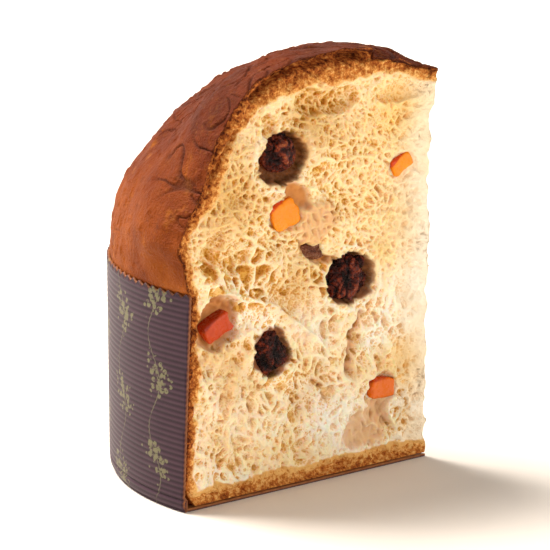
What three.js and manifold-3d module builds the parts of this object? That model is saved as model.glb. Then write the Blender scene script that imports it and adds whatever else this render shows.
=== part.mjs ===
// A cut slice of panettone standing on its base, in its paper baking mould.
// Millimetres, +Z up. The slice is drawn about the axis of the whole round loaf, then moved so
// that the origin lies at the bottom centre of its bounding box.
// First cut: the long face towards -Y. Second cut: the face towards +X.
import * as THREE from "three";
import { mergeVertices } from "three/addons/utils/BufferGeometryUtils.js";
import Module from "manifold-3d";

const wasm = await Module();
wasm.setup();

// Driving dimensions of the whole loaf and its mould
const MOULD_RADIUS = 80;
const MOULD_HEIGHT = 72;
const PAPER_THICKNESS = 1;
const GAP = 0.3;
const BASE_RIM_HEIGHT = 4;
const BASE_RADIUS = MOULD_RADIUS - PAPER_THICKNESS - GAP;
const TOOTH_PITCH = 4;
const TOOTH_DEPTH = 1.6;
const LOAF_BOTTOM = PAPER_THICKNESS + GAP;
const LOAF_RADIUS = MOULD_RADIUS - PAPER_THICKNESS - GAP;
const LOAF_SEGMENTS = 96;
const DOME_STEPS = 22;

// The two knife cuts. Both start at the inner edge of the wedge and lean a little.
const FIRST_CUT_OFFSET = 14.6;
const FIRST_CUT_LEAN = 0.05;
const INNER_EDGE_X = 21.6;
const WEDGE_ANGLE = THREE.MathUtils.degToRad(64);
const SECOND_CUT_LEAN = 0.055;
const CUTTER_SIZE = 400;

// Outline of the dome, as [radius, height]: the low outline away from the first cut, and the
// swollen one beside it, where a flap of the scored crust lifted as it baked.
const DOME_LOW = [
  [78.7, 70], [79, 74], [78.6, 81], [77.2, 88], [74.2, 96], [69.2, 103.5],
  [62.5, 111], [54.5, 119], [45, 126.3], [34, 132.8], [21, 136.8], [10, 138.4], [0, 139],
];
const DOME_SWOLLEN = [
  [78.7, 70], [80.6, 74], [81.9, 81], [84.4, 87.7], [81.1, 96], [76.4, 104.5],
  [74.4, 112], [71.2, 121], [62.5, 132.8], [53.5, 138.8], [37.3, 142.4], [20, 143], [0, 143],
];
const SWELLING_DEPTH = 46;
const SWELLING_END_X = [-14, 16];
const DENT_HEIGHT = 1.1;

// Pieces baked into the crumb, placed on a cut face: `along` from its left edge as seen from
// outside, `up` from the floor, and `inward` from the face to the piece's centre.
const POCKET_CLEARANCE = 0.45;
const FIRST_FACE_CHOCOLATE = [
  { along: 38.2, up: 112.4, inward: 4.9, size: [12.5, 11, 12], turn: 0.4 },
  { along: 67, up: 67.2, inward: 5.7, size: [19, 13, 16], turn: 1.1 },
  { along: 36.8, up: 46.5, inward: 4.4, size: [14.6, 10, 12.5], turn: 2.0 },
  { along: 52, up: 78.8, inward: 3.4, size: [11, 8, 7], turn: 2.9 },
];
const SECOND_FACE_CHOCOLATE = [
  { along: 30, up: 96, inward: 4.9, size: [14, 11, 12], turn: 0.8 },
  { along: 66, up: 54, inward: 4.4, size: [12, 10, 14], turn: 1.7 },
  { along: 24, up: 40, inward: 5.3, size: [15, 12, 12], turn: 2.4 },
];
const FIRST_FACE_ORANGE = [
  { along: 39.4, up: 92.4, inward: 3.9, size: [11.5, 9, 10.5], turn: 0.3 },
  { along: 86.4, up: 102.8, inward: 2.6, size: [9, 6.5, 6], turn: 0.45 },
  { along: 14.6, up: 58.6, inward: 4.2, size: [11.5, 9, 7.5], turn: 0.4 },
  { along: 82.6, up: 26.8, inward: 3.9, size: [11, 9, 8], turn: -0.15 },
];
const SECOND_FACE_ORANGE = [
  { along: 58, up: 104, inward: 3.9, size: [11, 9, 10], turn: 0.3 },
  { along: 44, up: 70, inward: 4.3, size: [12, 10, 9], turn: -0.5 },
  { along: 72, up: 26, inward: 3.9, size: [10, 9, 10], turn: 0.7 },
];

const up = new THREE.Vector3(0, 0, 1);

function material(color, roughness) {
  return new THREE.MeshStandardMaterial({ color, roughness, metalness: 0 });
}

function smoothstep(low, high, value) {
  const t = THREE.MathUtils.clamp((value - low) / (high - low), 0, 1);
  return t * t * (3 - 2 * t);
}

function positionsOnly(geometry) {
  const bare = geometry.clone();
  bare.deleteAttribute("normal");
  bare.deleteAttribute("uv");
  return mergeVertices(bare, 1e-4);
}

function signedVolume(position, index) {
  const [a, b, c] = [new THREE.Vector3(), new THREE.Vector3(), new THREE.Vector3()];
  let volume = 0;
  for (let i = 0; i < index.length; i += 3) {
    a.fromBufferAttribute(position, index[i]);
    b.fromBufferAttribute(position, index[i + 1]);
    c.fromBufferAttribute(position, index[i + 2]);
    volume += a.dot(b.cross(c)) / 6;
  }
  return volume;
}

// A closed solid from a geometry. Triangles that shrink to a line on the axis are left out.
function solid(geometry) {
  const bare = positionsOnly(geometry);
  const source = bare.index.array;
  let triVerts = [];
  for (let i = 0; i < source.length; i += 3) {
    const [a, b, c] = [source[i], source[i + 1], source[i + 2]];
    if (a !== b && b !== c && c !== a) triVerts.push(a, b, c);
  }
  if (signedVolume(bare.attributes.position, triVerts) < 0) triVerts = triVerts.reverse();
  return new wasm.Manifold(new wasm.Mesh({
    numProp: 3,
    vertProperties: Float32Array.from(bare.attributes.position.array),
    triVerts: Uint32Array.from(triVerts),
  }));
}

function geometryOf(body) {
  const { vertProperties, triVerts } = body.getMesh();
  const geometry = new THREE.BufferGeometry();
  geometry.setAttribute("position", new THREE.BufferAttribute(vertProperties, 3));
  geometry.setIndex(new THREE.BufferAttribute(triVerts, 1));
  geometry.computeVertexNormals();
  return geometry;
}

function named(name, geometry, finish) {
  const mesh = new THREE.Mesh(geometry, finish);
  mesh.name = name;
  return mesh;
}

// A profile of [radius, height] points turned about +Z
function turned(profile, segments) {
  const points = profile.map(([radius, height]) => new THREE.Vector2(radius, height));
  return new THREE.LatheGeometry(points, segments).rotateX(Math.PI / 2);
}

// A cut face: its left corner on the floor, and its directions along and out of the slice
function firstFace() {
  const outerX = -Math.sqrt(MOULD_RADIUS ** 2 - FIRST_CUT_OFFSET ** 2);
  return {
    corner: new THREE.Vector3(outerX, -FIRST_CUT_OFFSET, 0),
    along: new THREE.Vector3(1, 0, 0),
    out: new THREE.Vector3(0, -1, 0),
    lean: FIRST_CUT_LEAN,
  };
}

function secondFace() {
  return {
    corner: new THREE.Vector3(INNER_EDGE_X, -FIRST_CUT_OFFSET, 0),
    along: new THREE.Vector3(-Math.cos(WEDGE_ANGLE), Math.sin(WEDGE_ANGLE), 0),
    out: new THREE.Vector3(Math.sin(WEDGE_ANGLE), Math.cos(WEDGE_ANGLE), 0),
    lean: -SECOND_CUT_LEAN,
  };
}

// A point on a face, `inward` millimetres behind it
function onFace(face, along, height, inward) {
  return face.corner.clone()
    .addScaledVector(face.along, along)
    .addScaledVector(face.out, face.lean * height - inward)
    .addScaledVector(up, height);
}

// Everything in front of a cut face, as one big block
function cutter(face) {
  const normal = face.out.clone().addScaledVector(up, -face.lean).normalize();
  const rise = new THREE.Vector3().crossVectors(normal, face.along);
  const block = new THREE.BoxGeometry(CUTTER_SIZE, CUTTER_SIZE, CUTTER_SIZE);
  const basis = new THREE.Matrix4().makeBasis(face.along, rise, normal);
  basis.setPosition(face.corner.clone().addScaledVector(normal, CUTTER_SIZE / 2));
  return solid(block.applyMatrix4(basis));
}

function sliceOf(body, faces) {
  return faces.reduce((rest, face) => rest.subtract(cutter(face)), body);
}

function domePoints(outline) {
  const curve = new THREE.SplineCurve(outline.map(([r, z]) => new THREE.Vector2(r, z)));
  return curve.getPoints(DOME_STEPS);
}

// How far the swollen outline shows at a place: full on the first cut, fading behind it
function swelling(x, y, z) {
  const behind = y + FIRST_CUT_OFFSET + FIRST_CUT_LEAN * z;
  const inDepth = 1 - smoothstep(0, SWELLING_DEPTH, behind);
  return inDepth * (1 - smoothstep(SWELLING_END_X[0], SWELLING_END_X[1], x));
}

function dent(x, y, z) {
  const slow = Math.sin(x * 0.09 + 1.3) * Math.sin(y * 0.075 + 0.4);
  const quick = Math.sin(x * 0.21 + z * 0.05) * Math.cos(y * 0.19 - 0.7);
  return DENT_HEIGHT * (0.65 * slow + 0.35 * quick) * smoothstep(MOULD_HEIGHT, MOULD_HEIGHT + 15, z);
}

// The whole loaf: a drum in the mould under a dome that changes from one outline to the other
function wholeLoaf() {
  const low = domePoints(DOME_LOW);
  const swollen = domePoints(DOME_SWOLLEN);
  const drum = [
    [0, LOAF_BOTTOM],
    [LOAF_RADIUS - BASE_RIM_HEIGHT, LOAF_BOTTOM],
    [LOAF_RADIUS - PAPER_THICKNESS, LOAF_BOTTOM + BASE_RIM_HEIGHT],
    [LOAF_RADIUS, 2 * BASE_RIM_HEIGHT],
  ];
  const profile = drum.concat(low.map((point) => [point.x, point.y]));
  const geometry = turned(profile, LOAF_SEGMENTS);
  const position = geometry.attributes.position;
  for (let i = 0; i < position.count; i += 1) {
    const step = (i % profile.length) - drum.length;
    if (step < 1) continue;
    const [x, y, z] = [position.getX(i), position.getY(i), position.getZ(i)];
    const share = swelling(x, y, z);
    const radius = THREE.MathUtils.lerp(low[step].x, swollen[step].x, share);
    const height = THREE.MathUtils.lerp(low[step].y, swollen[step].y, share);
    const stretch = low[step].x > 0 ? radius / low[step].x : 1;
    position.setXYZ(i, x * stretch, y * stretch, height + dent(x, y, z));
  }
  return geometry;
}

// An irregular lump of chocolate, grown by `extra` for the pocket it sits in
function chocolateLump(face, place, extra) {
  const lump = positionsOnly(new THREE.IcosahedronGeometry(1, 2));
  const position = lump.attributes.position;
  const point = new THREE.Vector3();
  for (let i = 0; i < position.count; i += 1) {
    point.fromBufferAttribute(position, i);
    const bump = 1 + 0.11 * Math.sin(5 * point.x + 7 * place.turn) * Math.cos(4 * point.y - place.turn)
      + 0.07 * Math.sin(9 * point.z + 3 * place.turn);
    point.multiplyScalar(bump / 2);
    point.set(point.x * place.size[0], point.y * place.size[1], point.z * place.size[2]);
    point.setLength(point.length() + extra);
    position.setXYZ(i, point.x, point.y, point.z);
  }
  return placed(lump, face, place);
}

// A candied cube with its edges on the axes, grown by `extra` on every side for its pocket
function orangeCube(face, place, extra) {
  const [width, depth, height] = place.size.map((size) => size + 2 * extra);
  return placed(new THREE.BoxGeometry(width, depth, height), face, place);
}

// Turned about the face's own normal and moved to its place on the face
function placed(geometry, face, place) {
  const depthAxis = face.out.clone().negate();
  const basis = new THREE.Matrix4().makeBasis(face.along, depthAxis, up);
  const turn = new THREE.Matrix4().makeRotationY(place.turn);
  const move = new THREE.Matrix4().setPosition(onFace(face, place.along, place.up, place.inward));
  return geometry.applyMatrix4(move.multiply(basis).multiply(turn));
}

function mouldWall(faces) {
  const inner = MOULD_RADIUS - PAPER_THICKNESS;
  const profile = [
    [inner, 0], [MOULD_RADIUS, 0], [MOULD_RADIUS, MOULD_HEIGHT], [inner, MOULD_HEIGHT], [inner, 0],
  ];
  const halfTeeth = 2 * Math.round((2 * Math.PI * MOULD_RADIUS) / TOOTH_PITCH);
  const geometry = turned(profile, halfTeeth);
  const position = geometry.attributes.position;
  for (let i = 0; i < position.count; i += 1) {
    const column = Math.floor(i / profile.length);
    const onTop = position.getZ(i) > MOULD_HEIGHT - TOOTH_DEPTH;
    if (onTop && column % 2 === 1) position.setZ(i, MOULD_HEIGHT - TOOTH_DEPTH);
  }
  return geometryOf(sliceOf(solid(geometry), faces));
}

// The round paper base, with its edge turned up inside the wall
function mouldBase(faces) {
  const rim = BASE_RADIUS - PAPER_THICKNESS;
  const profile = [
    [0, 0], [BASE_RADIUS, 0], [BASE_RADIUS, BASE_RIM_HEIGHT], [rim, BASE_RIM_HEIGHT],
    [rim, PAPER_THICKNESS], [0, PAPER_THICKNESS],
  ];
  return geometryOf(sliceOf(solid(turned(profile, LOAF_SEGMENTS)), faces));
}

// Where the dome swells over the wall, the loaf keeps off the paper
function wallClearance() {
  const reach = MOULD_RADIUS + GAP;
  const inner = LOAF_RADIUS;
  const top = MOULD_HEIGHT + GAP;
  const profile = [[inner, 0], [reach + 9, 0], [reach + 9, top], [inner, top], [inner, 0]];
  return solid(turned(profile, LOAF_SEGMENTS));
}

function loaf(faces, pockets) {
  const cut = sliceOf(solid(wholeLoaf()).subtract(wallClearance()), faces);
  return geometryOf(pockets.reduce((rest, pocket) => rest.subtract(solid(pocket)), cut));
}

function inclusions(prefix, shape, places, finish) {
  return places.map(({ face, place }, i) => named(`${prefix}_${i + 1}`, shape(face, place, 0), finish));
}

function panettoneSlice() {
  const faces = [firstFace(), secondFace()];
  const on = (face, places) => places.map((place) => ({ face, place }));
  const chocolate = on(faces[0], FIRST_FACE_CHOCOLATE).concat(on(faces[1], SECOND_FACE_CHOCOLATE));
  const orange = on(faces[0], FIRST_FACE_ORANGE).concat(on(faces[1], SECOND_FACE_ORANGE));
  const pockets = [
    ...chocolate.map(({ face, place }) => chocolateLump(face, place, POCKET_CLEARANCE)),
    ...orange.map(({ face, place }) => orangeCube(face, place, POCKET_CLEARANCE)),
  ];
  const slice = new THREE.Group();
  slice.add(
    named("loaf", loaf(faces, pockets), material(0xe2b97f, 0.9)),
    named("mould_wall", mouldWall(faces), material(0x5f484b, 0.7)),
    named("mould_base", mouldBase(faces), material(0x5a3f3c, 0.8)),
    ...inclusions("chocolate_chunk", chocolateLump, chocolate, material(0x42201a, 0.45)),
    ...inclusions("orange_cube", orangeCube, orange, material(0xf08a2c, 0.35)),
  );
  return slice;
}

// Moves the pieces so that the origin is the bottom centre of their bounding box
function standAtOrigin(slice) {
  const box = new THREE.Box3().setFromObject(slice, true);
  const centre = box.getCenter(new THREE.Vector3());
  slice.position.set(-centre.x, -centre.y, -box.min.z);
  return slice;
}

const group = new THREE.Group();
group.add(standAtOrigin(panettoneSlice()));

export default group;
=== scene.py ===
"""A cut slice of panettone in its paper baking mould, dressed for rendering."""
import logging
import math
from dataclasses import dataclass, field
from enum import Enum

import bmesh
import bpy
import numpy as np
from mathutils import Matrix, Vector


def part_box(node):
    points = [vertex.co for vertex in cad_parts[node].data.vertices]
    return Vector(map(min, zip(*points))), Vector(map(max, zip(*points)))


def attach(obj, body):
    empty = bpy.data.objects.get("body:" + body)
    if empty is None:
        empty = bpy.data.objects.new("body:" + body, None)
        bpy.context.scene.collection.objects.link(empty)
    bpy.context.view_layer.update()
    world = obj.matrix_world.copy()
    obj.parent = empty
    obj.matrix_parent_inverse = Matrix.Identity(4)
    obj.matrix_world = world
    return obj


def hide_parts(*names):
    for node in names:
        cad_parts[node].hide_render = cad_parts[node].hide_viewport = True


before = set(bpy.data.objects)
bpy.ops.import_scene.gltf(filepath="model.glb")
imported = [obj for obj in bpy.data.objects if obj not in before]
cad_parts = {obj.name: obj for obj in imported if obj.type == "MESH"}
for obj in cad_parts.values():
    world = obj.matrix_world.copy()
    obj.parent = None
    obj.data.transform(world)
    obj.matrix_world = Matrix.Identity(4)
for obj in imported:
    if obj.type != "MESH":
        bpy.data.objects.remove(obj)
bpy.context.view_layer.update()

LOG = logging.getLogger("panettone")
MM = 0.001
TINY = 1e-3
BODY = "root"

Array = np.ndarray
Socket = bpy.types.NodeSocket
Stops = tuple[tuple[float, str], ...]
Place = tuple[float, float, float]
Outline = tuple[tuple[float, float], ...]


# ---------------- colour and noise helpers


def srgb(code: str) -> tuple[float, float, float, float]:
    """Turn a web colour into the linear colour that shaders use.

    Args:
        code: Six hexadecimal digits.

    Returns:
        Linear red, green and blue, and an opacity of 1.
    """
    channels = [int(code[i:i + 2], 16) / 255 for i in (0, 2, 4)]
    linear = [c / 12.92 if c <= 0.04045 else ((c + 0.055) / 1.055) ** 2.4 for c in channels]
    return (linear[0], linear[1], linear[2], 1.0)


def turned(degrees: float) -> tuple[float, float]:
    """Cosine and sine of an angle."""
    return math.cos(math.radians(degrees)), math.sin(math.radians(degrees))


def smooth(low: float, high: float, value: Array) -> Array:
    """Ease from 0 at low to 1 at high.

    Args:
        low: Where the step starts. It may be the larger one, for a falling step.
        high: Where the step ends.
        value: Where it is read.

    Returns:
        The eased value.
    """
    t = np.clip((value - low) / (high - low), 0, 1)
    return t * t * (3 - 2 * t)


def lattice(ix: Array, iy: Array, iz: Array, seed: int) -> Array:
    """Give each whole-number place its own fixed number.

    Args:
        ix: First coordinate.
        iy: Second coordinate.
        iz: Third coordinate.
        seed: Which set of numbers.

    Returns:
        A number from 0 to 1 for each place.
    """
    h = (ix * 374761393 + iy * 668265263 + iz * 1440662683 + seed * 974711) & 0xFFFFFFFF
    h = ((h ^ (h >> 13)) * 1274126177) & 0xFFFFFFFF
    return ((h ^ (h >> 16)) & 0xFFFFFF) / float(0xFFFFFF)


def noise(points: Array, size: float, seed: int) -> Array:
    """Smooth noise in space.

    Args:
        points: Places, one row each.
        size: Length of one lump, in the places' own unit.
        seed: Which noise.

    Returns:
        A number from -1 to 1 for each place.
    """
    cell = np.floor(points / size)
    t = points / size - cell
    t = t * t * (3 - 2 * t)
    i = cell.astype(np.int64)
    total = np.zeros(len(points))
    for corner in range(8):
        a, b, c = corner & 1, corner >> 1 & 1, corner >> 2
        weight = (t[:, 0] if a else 1 - t[:, 0]) * (t[:, 1] if b else 1 - t[:, 1])
        weight = weight * (t[:, 2] if c else 1 - t[:, 2])
        total += weight * lattice(i[:, 0] + a, i[:, 1] + b, i[:, 2] + c, seed)
    return 2 * total - 1


def flat_noise(u: Array, v: Array, size: float, seed: int, octaves: int = 1) -> Array:
    """Smooth noise on a plane, with finer noise added to it.

    Args:
        u: First coordinate.
        v: Second coordinate.
        size: Length of the largest lump.
        seed: Which noise.
        octaves: How many sizes, each half the last.

    Returns:
        A number from -1 to 1 for each place.
    """
    total, share, whole = 0.0, 1.0, 0.0
    for octave in range(octaves):
        x, y = (u + 13.7 * octave) / size * 2 ** octave, (v - 7.3 * octave) / size * 2 ** octave
        ix, iy = np.floor(x).astype(np.int64), np.floor(y).astype(np.int64)
        tx, ty = x - ix, y - iy
        tx, ty = tx * tx * (3 - 2 * tx), ty * ty * (3 - 2 * ty)
        kind = seed + 31 * octave
        low = lattice(ix, iy, 0, kind) * (1 - tx) + lattice(ix + 1, iy, 0, kind) * tx
        high = lattice(ix, iy + 1, 0, kind) * (1 - tx) + lattice(ix + 1, iy + 1, 0, kind) * tx
        total = total + share * (2 * (low * (1 - ty) + high * ty) - 1)
        whole += share
        share *= 0.5
    return total / whole


def soften(values: Array, passes: int) -> Array:
    """Blur a grid.

    Args:
        values: The grid.
        passes: How many narrow blurs.

    Returns:
        The blurred grid.
    """
    for _ in range(passes):
        for axis in (0, 1):
            values = (np.roll(values, 1, axis) + 2 * values + np.roll(values, -1, axis)) / 4
    return values


def distance_to_line(u: Array, v: Array, line: list[tuple[float, float]]) -> tuple[Array, Array, Array]:
    """Measure how far places lie from a line of straight stretches.

    Args:
        u: First coordinate.
        v: Second coordinate.
        line: The line's corners.

    Returns:
        The distance, the side (+1 on the right of the line's way), and how far along, 0 to 1.
    """
    best = np.full(u.shape, 1e9)
    side, travel = np.zeros(u.shape), np.zeros(u.shape)
    for k, ((a, b), (c, d)) in enumerate(zip(line[:-1], line[1:])):
        du, dv = c - a, d - b
        t = np.clip(((u - a) * du + (v - b) * dv) / (du * du + dv * dv), 0, 1)
        away = np.hypot(u - a - t * du, v - b - t * dv)
        nearer = away < best
        best = np.where(nearer, away, best)
        side = np.where(nearer, np.sign((u - a) * dv - (v - b) * du), side)
        travel = np.where(nearer, (k + t) / (len(line) - 1), travel)
    return best, side, travel


# ---------------- shape of the whole loaf


@dataclass(frozen=True)
class CutFace:
    """One knife cut: a plane that leans a little, read in millimetres about the loaf's axis.

    Attributes:
        corner: Left end of the face on the floor, seen from outside.
        along: Level direction from left to right.
        out: Level direction out of the slice.
        lean: How far the face moves out for each millimetre up.
    """

    corner: Place
    along: Place
    out: Place
    lean: float

    def read(self, points: Array) -> tuple[Array, Array, Array]:
        """Read places on the face.

        Args:
            points: Places, one row each.

        Returns:
            The distance along, the height, and the depth behind the face.
        """
        offset = points - np.array(self.corner)
        height = points[:, 2]
        return offset @ np.array(self.along), height, self.lean * height - offset @ np.array(self.out)

    def place(self, along: float, height: float, inward: float) -> Vector:
        """Find the point of the slice at a place on the face.

        Args:
            along: Distance along the face.
            height: Height over the floor.
            inward: Depth behind the face.

        Returns:
            The point.
        """
        step = Vector(self.along) * along + Vector(self.out) * (self.lean * height - inward)
        return Vector(self.corner) + step + Vector((0, 0, height))

    def normal(self) -> Vector:
        """Direction square to the face, out of the slice."""
        return (Vector(self.out) - Vector((0, 0, self.lean))).normalized()

    def basis(self) -> Matrix:
        """Turn that stands a piece on the face: X along it, Y into the loaf, Z up."""
        along, inward = Vector(self.along), -Vector(self.out)
        return Matrix((along, inward, Vector((0, 0, 1)))).transposed().to_4x4()


@dataclass(frozen=True)
class WholeLoaf:
    """The round loaf and mould that the slice was cut from, in millimetres about its axis.

    Attributes:
        axis_x: The axis in the row frame, in metres.
        axis_y: The axis in the row frame, in metres.
        mould_height: Height of the paper wall.
        mould_radius: Outer radius of the paper wall.
        loaf_radius: Radius of the loaf inside the wall.
        loaf_bottom: Height of the loaf's underside.
        rim_height: Height of the loaf's rounded lower edge.
        first_offset: Distance of the first cut from the axis, on the floor.
        first_lean: How far the first cut leans out for each millimetre up.
        second_lean: How far the second cut leans in for each millimetre up.
        inner_edge_x: Where the two cuts meet on the floor.
        wedge_degrees: Angle between the cuts.
        swelling_depth: How far behind the first cut the dome is swollen.
        dome_low: Radius and height of the dome's outline where it rose least.
        dome_swollen: The same where it rose most.
    """

    axis_x: float
    axis_y: float
    mould_height: float
    mould_radius: float = 80
    loaf_radius: float = 78.7
    loaf_bottom: float = 1.3
    rim_height: float = 4
    first_offset: float = 14.6
    first_lean: float = 0.05
    second_lean: float = 0.055
    inner_edge_x: float = 21.6
    wedge_degrees: float = 64
    swelling_depth: float = 46
    dome_low: Outline = (
        (78.7, 70), (79, 74), (78.6, 81), (77.2, 88), (74.2, 96), (69.2, 103.5), (62.5, 111),
        (54.5, 119), (45, 126.3), (34, 132.8), (21, 136.8), (10, 138.4), (0, 139))
    dome_swollen: Outline = (
        (78.7, 70), (80.6, 74), (81.9, 81), (84.4, 87.7), (81.1, 96), (76.4, 104.5), (74.4, 112),
        (71.2, 121), (62.5, 132.8), (53.5, 138.8), (37.3, 142.4), (20, 143), (0, 143))

    @classmethod
    def from_frame(cls) -> "WholeLoaf":
        """Read the axis and the wall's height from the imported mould.

        Returns:
            The loaf.
        """
        low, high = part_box("mould_wall")
        height = high[2] / MM
        lowest_y = cls.first_offset + cls.first_lean * height
        return cls(low[0] + cls.mould_radius * MM, low[1] + lowest_y * MM, height)

    def first_face(self) -> CutFace:
        """Work out the long cut face towards -Y."""
        reach = math.sqrt(self.mould_radius ** 2 - self.first_offset ** 2)
        return CutFace((-reach, -self.first_offset, 0), (1, 0, 0), (0, -1, 0), self.first_lean)

    def second_face(self) -> CutFace:
        """Work out the cut face towards +X, from the slice's inner edge.

        Returns:
            The face.
        """
        cosine, sine = turned(self.wedge_degrees)
        corner = (self.inner_edge_x, -self.first_offset, 0)
        return CutFace(corner, (-cosine, sine, 0), (sine, cosine, 0), -self.second_lean)

    def to_row(self) -> Matrix:
        """Move from millimetres about the loaf's axis to metres in the row frame."""
        return Matrix.Translation((self.axis_x, self.axis_y, 0)) @ Matrix.Scale(MM, 4)

    @staticmethod
    def outline(corners: Outline, step: Array) -> Array:
        """Read a smooth curve through an outline's corners.

        Args:
            corners: The points that the curve passes through.
            step: Places along it, where each whole number is a corner.

        Returns:
            A row of radius and height for each place.
        """
        points = np.array(corners, float)
        last = len(points) - 1
        i = np.clip(np.floor(step).astype(int), 0, last - 1)
        t = (step - i)[:, None]
        p0, p1 = points[np.maximum(i - 1, 0)], points[i]
        p2, p3 = points[i + 1], points[np.minimum(i + 2, last)]
        a, b = (p2 - p0) / 2, (p3 - p1) / 2
        cubic = (2 * p1 - 2 * p2 + a + b) * t ** 3 + (-3 * p1 + 3 * p2 - 2 * a - b) * t ** 2
        return cubic + a * t + p1

    def swelling(self, points: Array) -> Array:
        """How much of the swollen outline shows at each place, 0 to 1."""
        behind = points[:, 1] + self.first_offset + self.first_lean * points[:, 2]
        return (1 - smooth(0, self.swelling_depth, behind)) * (1 - smooth(-14, 16, points[:, 0]))

    def dent(self, points: Array) -> Array:
        """Work out the slow ups and downs of the dome.

        Args:
            points: Places on the dome.

        Returns:
            How much higher each place lies.
        """
        x, y, z = points.T
        slow = np.sin(x * 0.09 + 1.3) * np.sin(y * 0.075 + 0.4)
        quick = np.sin(x * 0.21 + z * 0.05) * np.cos(y * 0.19 - 0.7)
        return 1.1 * (0.65 * slow + 0.35 * quick) * smooth(self.mould_height, self.mould_height + 15, z)

    def bake(self, points: Array, step: Array) -> Array:
        """Swell the dome's low outline beside the first cut.

        Args:
            points: Places on the low outline turned about the axis.
            step: Each place's step along the outline, or below 0 in the mould.

        Returns:
            The places of the baked dome.
        """
        share = self.swelling(points)[:, None]
        low = self.outline(self.dome_low, np.maximum(step, 0))
        full = self.outline(self.dome_swollen, np.maximum(step, 0))
        both = low * (1 - share) + full * share
        stretch = np.where(low[:, 0] > TINY, both[:, 0] / np.maximum(low[:, 0], TINY), 1)
        baked = points.copy()
        baked[:, :2] *= stretch[:, None]
        baked[:, 2] = both[:, 1] + self.dent(points)
        return np.where((step > 0)[:, None], baked, points)

    def under_crust(self, points: Array) -> Array:
        """Measure how deep places lie under the loaf's baked outside.

        Args:
            points: Places inside the loaf.

        Returns:
            The distance to the nearest baked surface.
        """
        radius, height = np.hypot(points[:, 0], points[:, 1]), points[:, 2]
        steps = np.linspace(0, len(self.dome_low) - 1, 2 * len(self.dome_low) - 1)
        low, full = self.outline(self.dome_low, steps), self.outline(self.dome_swollen, steps)
        wall = [(self.loaf_radius, self.loaf_bottom), (self.loaf_radius, float(low[0][1]))]
        away = []
        for share in (0.0, 0.5, 1.0):
            dome = low * (1 - share) + full * share
            away.append(distance_to_line(radius, height, wall + [tuple(p) for p in dome[1:]])[0])
        here = self.swelling(points)
        first = np.where(here < 0.5, away[0], away[1])
        second = np.where(here < 0.5, away[1], away[2])
        mix = np.where(here < 0.5, here * 2, here * 2 - 1)
        return np.minimum(first * (1 - mix) + second * mix, height - self.loaf_bottom)


# ---------------- relief of the cut crumb


class Stain(Enum):
    """What a hollow in the crumb is coloured by."""

    NONE = "none"
    CHOCOLATE = "chocolate"
    AMBER = "amber"
    TAN = "tan"


@dataclass(frozen=True)
class Hollow:
    """A rounded hollow or mound in a cut face.

    Attributes:
        along: Middle along the face.
        up: Middle over the floor.
        wide: Half width.
        high: Half height.
        depth: Depth in the middle. Below 0 it is a mound.
        turn: Turn in degrees.
        stain: What colours it.
        smoothness: How far its inside lacks pores, 0 to 1.
        slope: How gently it gets deeper from its rim: 0.45 is a pocket, 1.6 a dish.
    """

    along: float
    up: float
    wide: float
    high: float
    depth: float
    turn: float = 0
    stain: Stain = Stain.NONE
    smoothness: float = 0
    slope: float = 0.45


@dataclass(frozen=True)
class Tear:
    """A torn ridge or crevice along a line of a cut face.

    Attributes:
        line: Corners of the line, along and up.
        width: Half width.
        depth: Depth of the crevice. Below 0 it is a ridge.
        step: How much deeper the face is on the line's left side, fading out over 14 mm.
        stain: What colours it; a stained crevice is painted darker as shade.
    """

    line: Outline
    width: float
    depth: float
    step: float = 0
    stain: Stain = Stain.NONE


@dataclass(frozen=True)
class CrumbRegion:
    """A round part of a cut face where the crumb differs.

    Attributes:
        along: Middle along the face.
        up: Middle over the floor.
        reach: How far it reaches.
        large: Share of large cells.
        yellow: How yellow it is.
        white: How strongly its strands are painted white as a highlight.
        pale: How pale it all is.
        honey: How golden brown it all is.
    """

    along: float
    up: float
    reach: float
    large: float = 0
    yellow: float = 0
    white: float = 0
    pale: float = 0
    honey: float = 0

    def share(self, u: Array, v: Array) -> Array:
        """How much of the region each place has."""
        return np.exp(-((u - self.along) ** 2 + (v - self.up) ** 2) / self.reach ** 2)


@dataclass(frozen=True)
class Net:
    """One layer of the open crumb: strands around packed cells.

    Attributes:
        cell: Width of a cell.
        strand: Half width of a strand.
        level: Depth of its strands behind the face.
        torn: Share of the strands that are torn away.
        stretch: How much taller than wide its cells are.
    """

    cell: float
    strand: float
    level: float
    torn: float
    stretch: float = 1.0

    def strands(self, u: Array, v: Array, seed: int) -> Array:
        """Find the strands, as the edges between scattered cells.

        Args:
            u: Distance along the face.
            v: Height.
            seed: Which strands.

        Returns:
            1 on a strand, 0 in a cell.
        """
        x, y = u / self.cell, v / (self.cell * self.stretch)
        ix, iy = np.floor(x).astype(np.int64), np.floor(y).astype(np.int64)
        spots = []
        for i in range(-2, 3):
            for j in range(-2, 3):
                px = ix + i + lattice(ix + i, iy + j, 1, seed)
                py = iy + j + lattice(ix + i, iy + j, 2, seed)
                spots.append((px - x, py - y))
        far = np.full(u.shape, 1e9)
        near_x, near_y = np.zeros(u.shape), np.zeros(u.shape)
        for dx, dy in spots:
            away = dx * dx + dy * dy
            closer = away < far
            far = np.where(closer, away, far)
            near_x, near_y = np.where(closer, dx, near_x), np.where(closer, dy, near_y)
        edge = np.full(u.shape, 9.0)
        for dx, dy in spots:
            gap_x, gap_y = dx - near_x, dy - near_y
            length = np.hypot(gap_x, gap_y)
            middle = ((dx + near_x) * gap_x + (dy + near_y) * gap_y) / (2 * np.maximum(length, 1e-6))
            edge = np.where(length > 1e-4, np.minimum(edge, middle), edge)
        edge = edge * self.cell
        width = 0.86 * self.strand * (1 + 0.45 * flat_noise(u, v, 2.2, seed + 5, 2))
        kept = smooth(-0.55, -0.2, flat_noise(u, v, 3.4, seed + 6, 2) + 1.1 * (0.5 - self.torn))
        return smooth(1.9, 0.5, edge / width) * kept


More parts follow.
